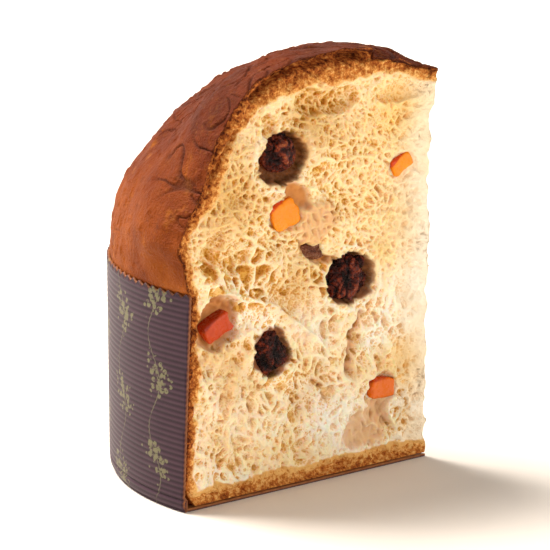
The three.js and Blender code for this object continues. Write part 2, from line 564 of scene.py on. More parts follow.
@dataclass
class Crumb:
    """The open crumb of one cut face: nets of strands over pits painted golden and darker as shade, on torn
    ground.

    Attributes:
        face: The cut face.
        loaf: The whole loaf.
        seed: Which crumb.
        hollows: Hollows and mounds.
        tears: Ridges and crevices.
        regions: Where the crumb differs.
        torn_below: Height under which the crumb is torn and fluffy.
        spacing: Grid spacing.
        depth: How deep the hollows may go.
        u: Distance along the face at each place of a grid from LOW to HIGH.
        v: Height at each place of the grid.
        maps: What build() works out on the grid.
        LOW: Lowest place along and up on the grid.
        HIGH: Highest place along and up.
        FINE: Nets of the close crumb.
        OPEN: Nets of the crumb with large cells.
        FLUFFY: Nets of the torn crumb.
    """

    face: CutFace
    loaf: WholeLoaf
    seed: int
    hollows: tuple[Hollow, ...] = ()
    tears: tuple[Tear, ...] = ()
    regions: tuple[CrumbRegion, ...] = ()
    torn_below: float = 66
    spacing: float = field(default_factory=lambda: 0.25)
    depth: float = 9
    u: Array = field(init=False)
    v: Array = field(init=False)
    maps: dict[str, Array] = field(init=False)

    LOW = (-7.0, -0.5)
    HIGH = (108.0, 147.0)
    FINE = (Net(2.9, 0.34, 0.0, 0.45), Net(3.6, 0.4, 0.5, 0.4),
            Net(2.3, 0.4, 1.1, 0.3), Net(3.0, 0.6, 1.9, 0.1))
    OPEN = (Net(5.4, 0.5, 0.0, 0.1), Net(4.2, 0.4, 1.2, 0.6),
            Net(3.4, 0.7, 2.4, 0.4), Net(3.0, 0.9, 3.0, 0.2))
    FLUFFY = (Net(3.2, 0.46, -0.2, 0.55, 1.7), Net(3.8, 0.6, 0.6, 0.5, 1.4),
              Net(2.5, 0.5, 1.3, 0.4), Net(3.4, 0.7, 2.1, 0.1))

    def build(self) -> None:
        """Work out the maps of relief and colour over the face."""
        along, up = (np.arange(low, high, self.spacing) for low, high in zip(self.LOW, self.HIGH))
        u, v = np.meshgrid(along, up, indexing="ij")
        self.u, self.v = u, v
        level = np.array(self.face.corner) + u.reshape(-1, 1) * np.array(self.face.along)
        points = level + self.face.lean * v.reshape(-1, 1) * np.array(self.face.out)
        points[:, 2] = v.ravel()
        rind = self.loaf.under_crust(points).reshape(u.shape)
        crust, thick = self._crust(rind)
        torn = smooth(self.torn_below + 8, self.torn_below - 10, v + 7 * self._noise(24, 3))
        ground, calm, stains = self._ground(torn)
        lip = stains.pop("lip")
        edge = self._edge_share(9)
        cells = self._cells(torn, smooth(0.6, 1.5, rind / thick))
        cells = soften(0.82 * cells * (1 - 0.85 * calm) * (1 - 0.35 * edge) * smooth(0, 1.0, rind), 1)
        flakes = self._flakes(rind, thick)
        relief = ground * smooth(0.2, 1.6, rind) * (1 - 0.7 * edge) + cells + flakes
        relief = relief * (1 - 0.85 * self._edge_share(4))
        # Painted highlights: the strands are whiter over the torn crumb, in the white regions and along the
        # chocolate rims.
        white = 0.55 * torn * smooth(-0.1, 0.4, self._noise(11, 42, 2))
        yellow = 0.25 * smooth(-0.2, 0.5, self._noise(17, 43, 2))
        honey = self._shares("honey") + 0.3 * self._noise(9, 44, 2)
        self.maps = {"relief": relief, "crust": crust, **stains}
        # The pit map is painted shade: the colour turns golden and darker in the deeper places.
        self.maps["pit"] = self._painted_pit_shade(cells, relief, ground)
        self.maps["white"] = np.maximum(np.clip(white + self._shares("white"), 0, 1), lip)
        self.maps["yellow"] = np.clip(yellow + self._shares("yellow"), 0, 1)
        self.maps["pale"] = np.clip(0.8 * edge + self._shares("pale"), 0, 1)
        self.maps["honey"] = np.clip(honey * (1 - edge), 0, 1)

    def _noise(self, size: float, which: int, octaves: int = 1) -> Array:
        """Read this crumb's own noise on its grid."""
        return flat_noise(self.u, self.v, size, self.seed + which, octaves)

    def _shares(self, name: str) -> Array:
        """Add up what the regions give of one of their values at each place."""
        return sum(getattr(region, name) * region.share(self.u, self.v) for region in self.regions)

    def _crust(self, rind: Array) -> tuple[Array, Array]:
        """Work out how far each place is baked.

        Args:
            rind: Distance under the baked outside.

        Returns:
            1 at the outside, 0.5 where the crust ends, 0 in the crumb; and the crust's thickness.
        """
        v = self.v
        thick = 3.4 + 3.3 * smooth(84, 104, v) + 2.4 * smooth(118, 130, v) + 2.2 * smooth(14, 3, v)
        corner = smooth(112, 122, v) * self._edge_share(34)
        thick = thick + 1.2 * smooth(66, 58, v) * smooth(30, 44, v) - 3.6 * corner
        thick = thick + (0.22 * thick + 0.5) * self._noise(7, 50, 3)
        thick = np.maximum(thick, 1.4)
        ragged = rind + 0.8 * self._noise(2.4, 51, 2)
        inside = 1 - 0.5 * np.clip(rind / thick, 0, 1)
        return inside * smooth(thick + 1.4, thick - 0.6, ragged), thick

    def _ground(self, torn: Array) -> tuple[Array, Array, dict[str, Array]]:
        """Shape the torn ground that the nets lie on.

        Args:
            torn: Where the crumb is torn.

        Returns:
            The depth of the ground, how calm it is, and the stain maps, with the painted highlight of the
            chocolate hollows' rims under lip.
        """
        u, v = self.u, self.v
        ground = 0.8 + 1.5 * self._noise(14, 1, 2) + self._noise(6, 2, 3)
        fluff = np.abs(flat_noise(u * 1.25, v * 0.8, 10, self.seed + 4, 4))
        ground = ground * (1 - 0.3 * torn) + torn * (5.2 * fluff - 0.6)
        calm = np.zeros(u.shape)
        stains = {kind.value: np.zeros(u.shape) for kind in Stain if kind is not Stain.NONE}
        stains["lip"] = np.zeros(u.shape)
        ragged = 0.13 * self._noise(5, 6, 3) + 0.06 * self._noise(1.6, 8)
        lumps = 1 + 0.5 * self._noise(3.2, 9, 2)
        for hollow in self.hollows:
            cosine, sine = turned(hollow.turn)
            du, dv = u - hollow.along, v - hollow.up
            x, y = (du * cosine + dv * sine) / hollow.wide, (dv * cosine - du * sine) / hollow.high
            away = np.hypot(x, y) + ragged * (2 if hollow.stain is Stain.TAN else 1)
            bowl = np.sqrt(np.clip(1 - away ** 2, 0, 1))
            inside = smooth(1.05, 0.8, away)
            for kind, stained in stains.items():
                stains[kind] = stained * (1 - inside)
            if hollow.depth > 0:
                ground = np.maximum(ground * (1 - 0.6 * inside), hollow.depth * bowl ** hollow.slope)
            else:
                ground = ground * (1 - inside) + hollow.depth * bowl * lumps
            calm = np.maximum(calm * (1 - inside), hollow.smoothness * smooth(1.0, 0.85, away))
            rim = (1.15, 0.75)
            if hollow.stain is Stain.CHOCOLATE:
                # A raised lip round each chocolate hollow, also painted white there as a highlight.
                lip = np.exp(-((away - 1.24) / 0.09) ** 2)
                ground = ground - 0.4 * lip
                stains["lip"] = np.maximum(stains["lip"], 0.7 * lip)
                rim = (1.1, 0.98)
            if hollow.stain is not Stain.NONE:
                stains[hollow.stain.value] = np.maximum(stains[hollow.stain.value], smooth(*rim, away))
        for tear in self.tears:
            away, side, travel = distance_to_line(u, v, list(tear.line))
            ends = smooth(0, 0.08, travel) * smooth(1, 0.92, travel)
            across = np.exp(-(away / (tear.width * (1 + 1.5 * ragged))) ** 2) * ends
            ground = ground + tear.depth * across
            ground = ground + tear.step * ends * smooth(14, 0, away) * smooth(-0.4, 0.4, -side)
            # A stained crevice is painted darker along its line, as shade.
            if tear.stain is not Stain.NONE:
                stains[tear.stain.value] = np.maximum(stains[tear.stain.value], 0.8 * across)
        return np.clip(ground, -2.2, self.depth - 0.6), calm, stains

    def _cells(self, torn: Array, open_share: Array) -> Array:
        """Work out the depth seen through the nets of strands.

        Args:
            torn: Where the crumb is torn.
            open_share: 0 in the crust, 1 in the crumb.

        Returns:
            The depth.
        """
        x = self.u + 2.0 * self._noise(7, 11) + self._noise(3, 12, 3)
        y = self.v + 2.0 * self._noise(7, 13) + self._noise(3, 14, 3)
        large = smooth(0.35, 0.6, self._shares("large") + 0.45 * self._noise(16, 15, 2))
        torn = torn * (1 - large)
        layers = ((self.FINE, 20), (self.OPEN, 60), (self.FLUFFY, 100))
        fine, wide, fluffy = (self._see(x, y, nets, seed) for nets, seed in layers)
        depth = fine * (1 - large) + wide * large
        depth = (depth * (1 - torn) + fluffy * torn) * (0.25 + 0.75 * open_share)
        lively = 0.8 + 0.5 * smooth(-0.35, 0.4, self._noise(8.5, 16, 2))
        depth = depth * (large + (1 - large) * lively)
        wisps = np.zeros(x.shape)
        for number, (size, width) in enumerate(((8, 0.07), (5, 0.09), (6.5, 0.08))):
            line = np.abs(flat_noise(x * 1.2, y * 0.9, size, self.seed + 130 + number, 2))
            kept = smooth(0.0, 0.3, self._noise(6, 140 + number))
            wisps = np.maximum(wisps, smooth(width, 0.2 * width, line) * kept)
        return depth * (1 - wisps) + np.minimum(depth, 0.1) * wisps

    def _see(self, x: Array, y: Array, nets: tuple[Net, ...], seed: int) -> Array:
        """Look through a stack of nets.

        Args:
            x: Bent coordinate along.
            y: Bent coordinate up.
            nets: The layers, from the front.
            seed: Which strands.

        Returns:
            The depth of what is seen.
        """
        bottom = nets[-1].level + 0.7
        depth = bottom + 0.4 * flat_noise(x, y, 3, self.seed + seed, 2)
        for number, net in reversed(list(enumerate(nets))):
            strands = net.strands(x, y, self.seed + seed + 7 * number)
            top = net.level + 0.35 * flat_noise(x, y, 5, self.seed + seed + 7 * number + 3, 2) + 0.3
            depth = depth * (1 - strands) + np.minimum(top, depth) * strands
        return depth

    def _flakes(self, rind: Array, thick: Array) -> Array:
        """Work out the relief of the crust where it is cut: crumbly, with cracks along it.

        Args:
            rind: Distance under the baked outside.
            thick: The crust's thickness.

        Returns:
            The depth.
        """
        within = smooth(1.15, 0.7, rind / thick)
        grains = 0.9 * self._noise(1.9, 30, 2) + 1.1 * np.abs(self._noise(4.5, 31, 3))
        bent = 0.35 * self._noise(8, 32, 2)
        crack = smooth(0.16, 0.02, np.abs(rind / thick - 0.42 + bent))
        crack = crack * smooth(0.0, 0.3, self._noise(9, 33)) * smooth(3.4, 5, thick)
        return within * (grains + 1.2 * crack) * smooth(0, 0.8, rind)

    def _edge_share(self, reach: float) -> Array:
        """Work out how near each place is to the thin edge where the two cuts meet.

        Args:
            reach: How far from the edge it ends.

        Returns:
            1 at the edge, 0 beyond the reach.
        """
        u, v, loaf = self.u, self.v, self.loaf
        wedge = math.radians(loaf.wedge_degrees)
        sine, tangent = math.sin(wedge), math.tan(wedge)
        if self.face.lean > 0:
            edge = loaf.inner_edge_x + math.sqrt(loaf.mould_radius ** 2 - loaf.first_offset ** 2)
            away = edge - u - (loaf.second_lean / sine - loaf.first_lean / tangent) * v
        else:
            away = u + (loaf.first_lean / sine - loaf.second_lean / tangent) * v
        return smooth(reach, 0.05 * reach, away + 0.2 * reach * self._noise(8, 40, 2))

    def _painted_pit_shade(self, cells: Array, relief: Array, ground: Array) -> Array:
        """Work out the painted shade of each place: more golden and darker deeper in the cells and below the
        relief around it.

        Args:
            cells: Depth seen through the nets.
            relief: The whole relief.
            ground: Depth of the ground behind the nets.

        Returns:
            0 on a strand and 1 in a pit, where the most shade is painted.
        """
        around = soften(relief, 40)
        deep = 0.33 * (cells - 0.25) + 0.1 * (relief - around) + 0.05 * np.clip(ground - 0.8, -1.5, 5)
        return np.clip(deep + 0.07 * self._noise(1.5, 41, 2), 0, 1)

    def sample(self, name: str, u: Array, v: Array) -> Array:
        """Read one of the maps.

        Args:
            name: Which map.
            u: Distances along the face.
            v: Heights.

        Returns:
            The map's value at each place.
        """
        grid = self.maps[name]
        x = np.clip((u - self.LOW[0]) / self.spacing, 0, grid.shape[0] - 1.001)
        y = np.clip((v - self.LOW[1]) / self.spacing, 0, grid.shape[1] - 1.001)
        i, j = x.astype(int), y.astype(int)
        tx, ty = x - i, y - j
        low = grid[i, j] * (1 - tx) + grid[i + 1, j] * tx
        high = grid[i, j + 1] * (1 - tx) + grid[i + 1, j + 1] * tx
        return low * (1 - ty) + high * ty


# ---------------- making meshes and pieces


def mesh_arrays(mesh: bpy.types.Mesh) -> tuple[Array, Array]:
    """Read a mesh.

    Args:
        mesh: The mesh.

    Returns:
        Its points and their normals, one row each.
    """
    points, normals = np.empty(len(mesh.vertices) * 3), np.empty(len(mesh.vertices) * 3)
    mesh.vertices.foreach_get("co", points)
    mesh.vertex_normals.foreach_get("vector", normals)
    return points.reshape(-1, 3), normals.reshape(-1, 3)


def write_points(mesh: bpy.types.Mesh, points: Array) -> None:
    """Move a mesh's points."""
    mesh.vertices.foreach_set("co", points.ravel())
    mesh.update()


def write_value(mesh: bpy.types.Mesh, name: str, values: Array) -> None:
    """Store a number for each point of a mesh, for its material to read."""
    layer = mesh.attributes.get(name) or mesh.attributes.new(name, "FLOAT", "POINT")
    layer.data.foreach_set("value", np.ascontiguousarray(values, dtype=np.float32))


def with_modifier(mesh: bpy.types.Mesh, kind: str, **settings: object) -> bpy.types.Mesh:
    """Run one modifier on a mesh.

    Args:
        mesh: What it works on. It is used up.
        kind: The modifier's type.
        settings: The modifier's values.

    Returns:
        The new mesh.
    """
    holder = bpy.data.objects.new("holder", mesh)
    bpy.context.scene.collection.objects.link(holder)
    modifier = holder.modifiers.new("step", kind)
    for name, value in settings.items():
        setattr(modifier, name, value)
    graph = bpy.context.evaluated_depsgraph_get()
    made = bpy.data.meshes.new_from_object(holder.evaluated_get(graph), depsgraph=graph)
    bpy.data.objects.remove(holder)
    bpy.data.meshes.remove(mesh)
    return made


def thinned(mesh: bpy.types.Mesh, limit: int) -> bpy.types.Mesh:
    """Bring a mesh under a number of triangles.

    Args:
        mesh: What it works on. It is used up if it has more.
        limit: The number.

    Returns:
        The mesh, or a thinner one.
    """
    mesh.calc_loop_triangles()
    count = len(mesh.loop_triangles)
    if count <= limit:
        return mesh
    return with_modifier(mesh, "DECIMATE", ratio=limit / count, use_collapse_triangulate=True)


def as_mesh(bm: bmesh.types.BMesh, name: str) -> bpy.types.Mesh:
    """Turn a bmesh into a mesh and free it.

    Args:
        bm: The bmesh.
        name: The mesh's name.

    Returns:
        The mesh.
    """
    mesh = bpy.data.meshes.new(name)
    bm.to_mesh(mesh)
    bm.free()
    return mesh


def turn_about_axis(bm: bmesh.types.BMesh, verts: list[bmesh.types.BMVert], angle: float, steps: int) -> None:
    """Turn an outline about the upright axis into a surface.

    Args:
        bm: The outline's bmesh.
        verts: The outline's points, in order.
        angle: How far it turns, in radians. A whole turn closes on itself.
        steps: How many steps that takes.
    """
    whole_turn = angle == 2 * math.pi
    edges = [bm.edges.new(pair) for pair in zip(verts[:-1], verts[1:])]
    bmesh.ops.spin(bm, geom=verts + edges, cent=(0, 0, 0), axis=(0, 0, 1), dvec=(0, 0, 0),
                   angle=angle, steps=steps, use_merge=whole_turn)
    if whole_turn:
        bmesh.ops.remove_doubles(bm, verts=bm.verts[:], dist=TINY)


def cut_off(bm: bmesh.types.BMesh, corner: Place, normal: Vector,
            near: float = 0) -> list[bmesh.types.BMEdge]:
    """Cut away everything on one side of a plane.

    Args:
        bm: What is cut.
        corner: A point of the plane.
        normal: The plane's normal, towards what goes.
        near: How near the plane a point counts as on it.

    Returns:
        The edges around the open cut.
    """
    cut = bmesh.ops.bisect_plane(bm, geom=bm.verts[:] + bm.edges[:] + bm.faces[:], clear_outer=True,
                                 plane_co=corner, plane_no=normal, dist=near)
    return [part for part in cut["geom_cut"] if isinstance(part, bmesh.types.BMEdge)]


def add_piece(name: str, mesh: bpy.types.Mesh, material: bpy.types.Material, node: str) -> None:
    """Put a finished piece in the scene.

    Args:
        name: Its name.
        mesh: Its mesh, already in the row frame.
        material: Its finish.
        node: The CAD node that it stands for.
    """
    mesh.name = name
    for polygon in mesh.polygons:
        polygon.use_smooth = True
    mesh.materials.clear()
    mesh.materials.append(material)
    piece = bpy.data.objects.new(name, mesh)
    bpy.context.scene.collection.objects.link(piece)
    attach(piece, BODY)
    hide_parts(node)
    mesh.calc_loop_triangles()
    LOG.info("%s: %d triangles", name, len(mesh.loop_triangles))


# ---------------- materials


class Recipe:
    """A material's node tree, with short ways to add to it."""

    def __init__(self, name: str) -> None:
        """Start a material with one plain shader.

        Args:
            name: The material's name.
        """
        self.material = bpy.data.materials.new(name)
        self.material.use_nodes = True
        self.tree = self.material.node_tree
        self.shader = self.tree.nodes["Principled BSDF"]
        self.place = self.tree.nodes.new("ShaderNodeTexCoord").outputs["Object"]

    def link(self, value: object, socket: Socket) -> None:
        """Feed a socket.

        Args:
            value: Another socket to link from, or what to set.
            socket: The socket.
        """
        if isinstance(value, Socket):
            self.tree.links.new(value, socket)
        else:
            socket.default_value = value

    def value(self, name: str) -> Socket:
        """Read the number that the mesh stores under a name.

        Args:
            name: The name.

        Returns:
            The number.
        """
        node = self.tree.nodes.new("ShaderNodeAttribute")
        node.attribute_name = name
        return node.outputs["Fac"]

    def uv(self) -> Socket:
        """The mesh's own UV map."""
        return self.tree.nodes.new("ShaderNodeUVMap").outputs["UV"]

    def noise(self, size: float, detail: float = 3, roughness: float = 0.55, where: object = None) -> Socket:
        """Cloudy pattern.

        Args:
            size: Length of a lump in millimetres.
            detail: How many finer sizes it has.
            roughness: How strong they are.
            where: Coordinates, or None for the piece's place in metres.

        Returns:
            A number about 0.5.
        """
        node = self.tree.nodes.new("ShaderNodeTexNoise")
        self.link(where if where is not None else self.place, node.inputs["Vector"])
        node.inputs["Scale"].default_value = 1 / size if where is not None else 1 / (size * MM)
        node.inputs["Detail"].default_value = detail
        node.inputs["Roughness"].default_value = roughness
        return node.outputs["Fac"]

    def cells(self, size: float, where: object = None, feature: str = "F1") -> Socket:
        """Distance pattern of scattered cells.

        Args:
            size: Width of a cell in millimetres.
            where: Coordinates, or None for the piece's place in metres.
            feature: Which distance.

        Returns:
            The distance, in cell widths.
        """
        node = self.tree.nodes.new("ShaderNodeTexVoronoi")
        node.feature = feature
        self.link(where if where is not None else self.place, node.inputs["Vector"])
        node.inputs["Scale"].default_value = 1 / size if where is not None else 1 / (size * MM)
        return node.outputs["Distance"]

    def math(self, kind: str, first: object, second: object = 0.0, clamp: bool = False) -> Socket:
        """Work out one sum on numbers.

        Args:
            kind: The Math node's operation.
            first: First number.
            second: Second number.
            clamp: Whether the answer is kept from 0 to 1.

        Returns:
            The answer.
        """
        node = self.tree.nodes.new("ShaderNodeMath")
        node.operation, node.use_clamp = kind, clamp
        self.link(first, node.inputs[0])
        self.link(second, node.inputs[1])
        return node.outputs[0]

    def plus(self, first: object, second: object) -> Socket:
        """Add two numbers."""
        return self.math("ADD", first, second)

    def minus(self, first: object, second: object) -> Socket:
        """Take the second number from the first."""
        return self.math("SUBTRACT", first, second)

    def times(self, first: object, second: object) -> Socket:
        """Multiply two numbers."""
        return self.math("MULTIPLY", first, second)

    def ease(self, value: object, low: float, high: float, start: float = 0.0, end: float = 1.0) -> Socket:
        """Bring a range of a number to another range, with soft ends.

        Args:
            value: The number.
            low: Start of its range.
            high: End of its range.
            start: What the start becomes.
            end: What the end becomes.

        Returns:
            The new number.
        """
        node = self.tree.nodes.new("ShaderNodeMapRange")
        node.interpolation_type = "SMOOTHSTEP"
        self.link(value, node.inputs["Value"])
        for name, number in (("From Min", low), ("From Max", high), ("To Min", start), ("To Max", end)):
            node.inputs[name].default_value = number
        return node.outputs["Result"]

    def ramp(self, value: object, stops: Stops) -> Socket:
        """Colour for a number.

        Args:
            value: The number.
            stops: Places from 0 to 1, each with its web colour.

        Returns:
            The colour.
        """
        node = self.tree.nodes.new("ShaderNodeValToRGB")
        elements = node.color_ramp.elements
        while len(elements) < len(stops):
            elements.new(0.5)
        for element, (position, code) in zip(elements, stops):
            element.position, element.color = position, srgb(code)
        self.link(value, node.inputs["Fac"])
        return node.outputs["Color"]

    def math_vector(self, kind: str, first: object, second: object) -> Socket:
        """Work out one sum on vectors.

        Args:
            kind: The Vector Math node's operation.
            first: First vector. A number stands for three of itself.
            second: Second vector.

        Returns:
            The answer.
        """
        node = self.tree.nodes.new("ShaderNodeVectorMath")
        node.operation = kind
        for value, socket in zip((first, second), node.inputs):
            self.link((value,) * 3 if isinstance(value, float) else value, socket)
        return node.outputs[0]

    def mix(self, share: object, first: object, second: object, blend: str = "MIX") -> Socket:
        """Mix two colours.

        Args:
            share: How much of the second colour, 0 to 1.
            first: First colour, as a socket or a web colour.
            second: Second colour.
            blend: How the second lies on the first.

        Returns:
            The mixed colour.
        """
        node = self.tree.nodes.new("ShaderNodeMix")
        node.data_type, node.blend_type = "RGBA", blend
        self.link(share, node.inputs[0])
        self.link(srgb(first) if isinstance(first, str) else first, node.inputs[6])
        self.link(srgb(second) if isinstance(second, str) else second, node.inputs[7])
        return node.outputs[2]

    def split(self, vector: object) -> tuple[Socket, ...]:
        """Take a vector apart.

        Args:
            vector: The vector.

        Returns:
            Its three numbers.
        """
        node = self.tree.nodes.new("ShaderNodeSeparateXYZ")
        self.link(vector, node.inputs[0])
        return tuple(node.outputs)

    def join(self, x: object, y: object, z: object = 0.0) -> Socket:
        """Make a vector of three numbers.

        Args:
            x: The first.
            y: The second.
            z: The third.

        Returns:
            The vector.
        """
        node = self.tree.nodes.new("ShaderNodeCombineXYZ")
        for value, socket in zip((x, y, z), node.inputs):
            self.link(value, socket)
        return node.outputs[0]

    def bump(self, height: object, depth: float, under: object = None) -> Socket:
        """Fine relief.

        Args:
            height: Pattern of the relief, 0 to 1.
            depth: Its depth in millimetres.
            under: Relief that it lies on.

        Returns:
            The bent normal.
        """
        node = self.tree.nodes.new("ShaderNodeBump")
        node.inputs["Distance"].default_value = depth * MM
        node.inputs["Strength"].default_value = 1.0
        self.link(height, node.inputs["Height"])
        if under is not None:
            self.link(under, node.inputs["Normal"])
        return node.outputs[0]

    def set(self, **sockets: object) -> None:
        """Set the shader's sockets by name, with _ for a space."""
        for name, value in sockets.items():
            self.link(value, self.shader.inputs[name.replace("_", " ")])


@dataclass(frozen=True)
class BakedFinish:
    """Crumb, crust and everything that stains them, with shade painted into pits, crevices and wrinkles and
    highlights painted onto strands.

    Attributes:
        strand: The crumb's strands.
        highlight_strand: Painted highlight on the whitest strands.
        shade: Painted shade just behind the strands.
        golden: Painted golden shade between the strands.
        pit: Painted shade in a pit.
        deep: Painted shade at the bottom of the deepest pits.
        pale: Veil over the palest parts.
        honey: Tint of the browner parts.
        yellow: Tint of the yellow parts.
        scorch: Dark clouds on the dome.
        patch: Light clouds on the dome.
        speck: Light specks on the dome.
        wrinkle: Painted shade in the dome's wrinkles.
        tan: Smooth baked fruit paste, from ridge to pit, darker in the pit as painted shade.
        amber: Syrup stain, from ridge to pit, darker in the pit as painted shade; along torn crevices it is
            painted shade alone.
        cocoa: Chocolate stain, from ridge to pit, darker in the pit as painted shade.
        band: Cut crust, from the crumb outwards.
        dome: The baked outside, from light to dark.
        torn: Torn dough in the scores, dark and light.
    """

    strand: str = "f8e0b6"
    highlight_strand: str = "fff6e6"
    shade: str = "ecc486"
    golden: str = "dba44c"
    pit: str = "c98a36"
    deep: str = "a56222"
    pale: str = "fdf2e0"
    honey: str = "dcc69e"
    yellow: str = "f6d98c"
    scorch: str = "4a1c0a"
    patch: str = "ac661e"
    speck: str = "a5621f"
    wrinkle: str = "3a1508"
    tan: Stops = ((0.0, "d8a876"), (0.35, "bd8653"), (0.8, "84522c"))
    amber: Stops = ((0.15, "cd8a42"), (0.4, "b26c2e"), (0.8, "7c4018"))
    cocoa: Stops = ((0.15, "a0551f"), (0.4, "6a3012"), (0.8, "260d05"))
    band: Stops = ((0.28, "e6b26a"), (0.46, "cd8842"), (0.62, "b1672d"), (0.78, "8e491f"), (0.95, "4a200f"))
    dome: Stops = ((0.3, "9b541e"), (0.46, "854113"), (0.62, "73330c"), (0.8, "5f2508"), (1.0, "431704"))
    torn: Stops = ((0.35, "93501f"), (0.65, "c98a48"))

    def build(self) -> bpy.types.Material:
        """Make the material.

        Returns:
            The material.
        """
        r = Recipe("baked_crumb_and_crust")
        pit, crust, outside = r.value("pit"), r.value("crust"), r.value("outside")
        lace = self._lace(r)
        # Tone grows with depth and between the finest strands, so the colour steps below paint shade into the
        # crumb.
        tone = r.plus(pit, r.times(r.minus(lace, 0.5), 0.3))
        # Where the white map says, strands are painted towards the snow colour as a highlight.
        strand = r.mix(r.value("white"), self.strand, self.highlight_strand)
        crumb = r.mix(r.ease(tone, 0.08, 0.36), strand, self.shade)
        crumb = r.mix(r.ease(tone, 0.3, 0.62), crumb, self.golden)
        crumb = r.mix(r.ease(tone, 0.6, 0.85), crumb, self.pit)
        crumb = r.mix(r.ease(tone, 0.85, 1.15), crumb, self.deep)
        crumb = r.mix(r.value("honey"), crumb, self.honey, "MULTIPLY")
        crumb = r.mix(r.times(r.value("pale"), 0.74), crumb, self.pale)
        crumb = r.mix(r.times(r.value("yellow"), 0.6), crumb, self.yellow, "MULTIPLY")
        crumb = r.mix(r.times(r.value("tan"), 0.82), crumb, r.ramp(tone, self.tan))
        # Amber and chocolate stains are real, and darken towards the pit as painted shade.
        for name, stops, size, detail in (("amber", self.amber, 3, 3), ("chocolate", self.cocoa, 2, 4)):
            stain = r.ramp(r.plus(pit, r.times(r.noise(size, detail), 0.3)), stops)
            crumb = r.mix(r.times(r.value(name), 0.92), crumb, stain)
        grains = r.minus(r.noise(1.5, 4, 0.7), 0.5)
        _, _, height = r.split(r.place)
        foot = r.ease(height, 0.006, 0.014, 0.28, 0.0)
        baked = r.minus(crust, r.plus(foot, 0.08))
        baked = r.plus(baked, r.times(grains, 1.9))
        crumb = r.mix(r.ease(crust, 0.12, 0.46), crumb, r.ramp(baked, self.band))
        r.set(
            Base_Color=r.mix(outside, crumb, self._dome(r)),
            Roughness=r.ease(outside, 0, 1, 0.85, 0.6),
            Subsurface_Weight=r.ease(self._solid(r, outside, crust), 0.1, 0.7, 0.8, 0.0),
            Subsurface_Radius=(1.0, 0.62, 0.26),
            Subsurface_Scale=0.0042,
            Specular_IOR_Level=0.06,
            Normal=self._relief(r, outside, lace),
        )
        return r.material

    def _solid(self, r: Recipe, outside: Socket, crust: Socket) -> Socket:
        """Find where no light soaks in: on crust and chocolate, and along the halves' join.

        Args:
            r: The material.
            outside: 1 on the baked outside.
            crust: How far each place is baked.

        Returns:
            1 where none soaks in.
        """
        stained = r.plus(r.value("chocolate"), r.value("join"))
        stained = r.plus(stained, r.times(r.value("amber"), 0.4))
        return r.math("ADD", r.plus(outside, crust), stained, True)

    def _lace(self, r: Recipe) -> Socket:
        """Draw the finest strands of the crumb.

        Args:
            r: The material.

        Returns:
            0 on a strand and 1 between.
        """
        warp = r.math_vector("MULTIPLY", self._warped(r, 2.2, 0.9), 1000.0)
        small = r.ease(r.cells(1.25, warp, "DISTANCE_TO_EDGE"), 0.02, 0.26)
        small = r.times(small, r.ease(r.noise(2.8, 2), 0.3, 0.6, 0.75, 1.0))
        smeared = r.plus(r.value("tan"), r.value("amber"))
        return r.times(small, r.ease(smeared, 0.2, 0.9, 1.0, 0.15))

    def _warped(self, r: Recipe, size: float, amount: float) -> Socket:
        """Bend the coordinates.

        Args:
            r: The material.
            size: Length of one bend in millimetres.
            amount: How far they are moved, in millimetres.

        Returns:
            The bent coordinates, in metres.
        """
        node = r.tree.nodes.new("ShaderNodeTexNoise")
        r.link(r.place, node.inputs["Vector"])
        node.inputs["Scale"].default_value = 1 / (size * MM)
        node.inputs["Detail"].default_value = 2
        shift = r.math_vector("SUBTRACT", node.outputs["Color"], 0.5)
        return r.math_vector("ADD", r.place, r.math_vector("MULTIPLY", shift, 2 * amount * MM))

    def _dome(self, r: Recipe) -> Socket:
        """Mix the colour of the baked outside.

        Args:
            r: The material.

        Returns:
            The colour.
        """
        _, _, height = r.split(r.place)
        rise = r.ease(height, 0.07, 0.135)
        tone = r.plus(r.times(rise, 0.42), r.times(r.noise(17, 4, 0.6), 0.75))
        tone = r.plus(tone, r.times(r.noise(1.6, 3, 0.7), 0.22))
        dome = r.ramp(tone, self.dome)
        dome = r.mix(r.ease(r.noise(7.5, 5, 0.65), 0.58, 0.7, 0, 0.55), dome, self.scorch)
        dome = r.mix(r.ease(r.noise(11, 4, 0.6), 0.6, 0.74, 0, 0.4), dome, self.patch)
        dome = r.mix(r.ease(r.noise(1.6, 4, 0.75), 0.52, 0.74, 0, 0.3), dome, self.speck)
        # Painted shade: the dome's wrinkles are darkened.
        dome = r.mix(r.times(r.value("crease"), 0.75), dome, self.wrinkle)
        return r.mix(r.times(r.value("torn"), 0.8), dome, r.ramp(r.noise(3, 4), self.torn))

    def _relief(self, r: Recipe, outside: Socket, lace: Socket) -> Socket:
        """Make the fine relief: strands in the crumb, blisters and wrinkles on the crust.

        Args:
            r: The material.
            outside: 1 on the baked outside.
            lace: The crumb's finest strands.

        Returns:
            The bent normal.
        """
        fibres = r.times(r.noise(0.9, 4, 0.65), 0.6)
        fibres = r.bump(r.minus(fibres, r.times(lace, 0.6)), 0.3)
        skin = r.plus(r.noise(1.1, 5, 0.6), r.times(r.noise(4, 3), 1.4))
        skin = r.plus(skin, r.times(r.cells(1.8), 0.5))
        return r.bump(r.times(skin, outside), 0.28, fibres)


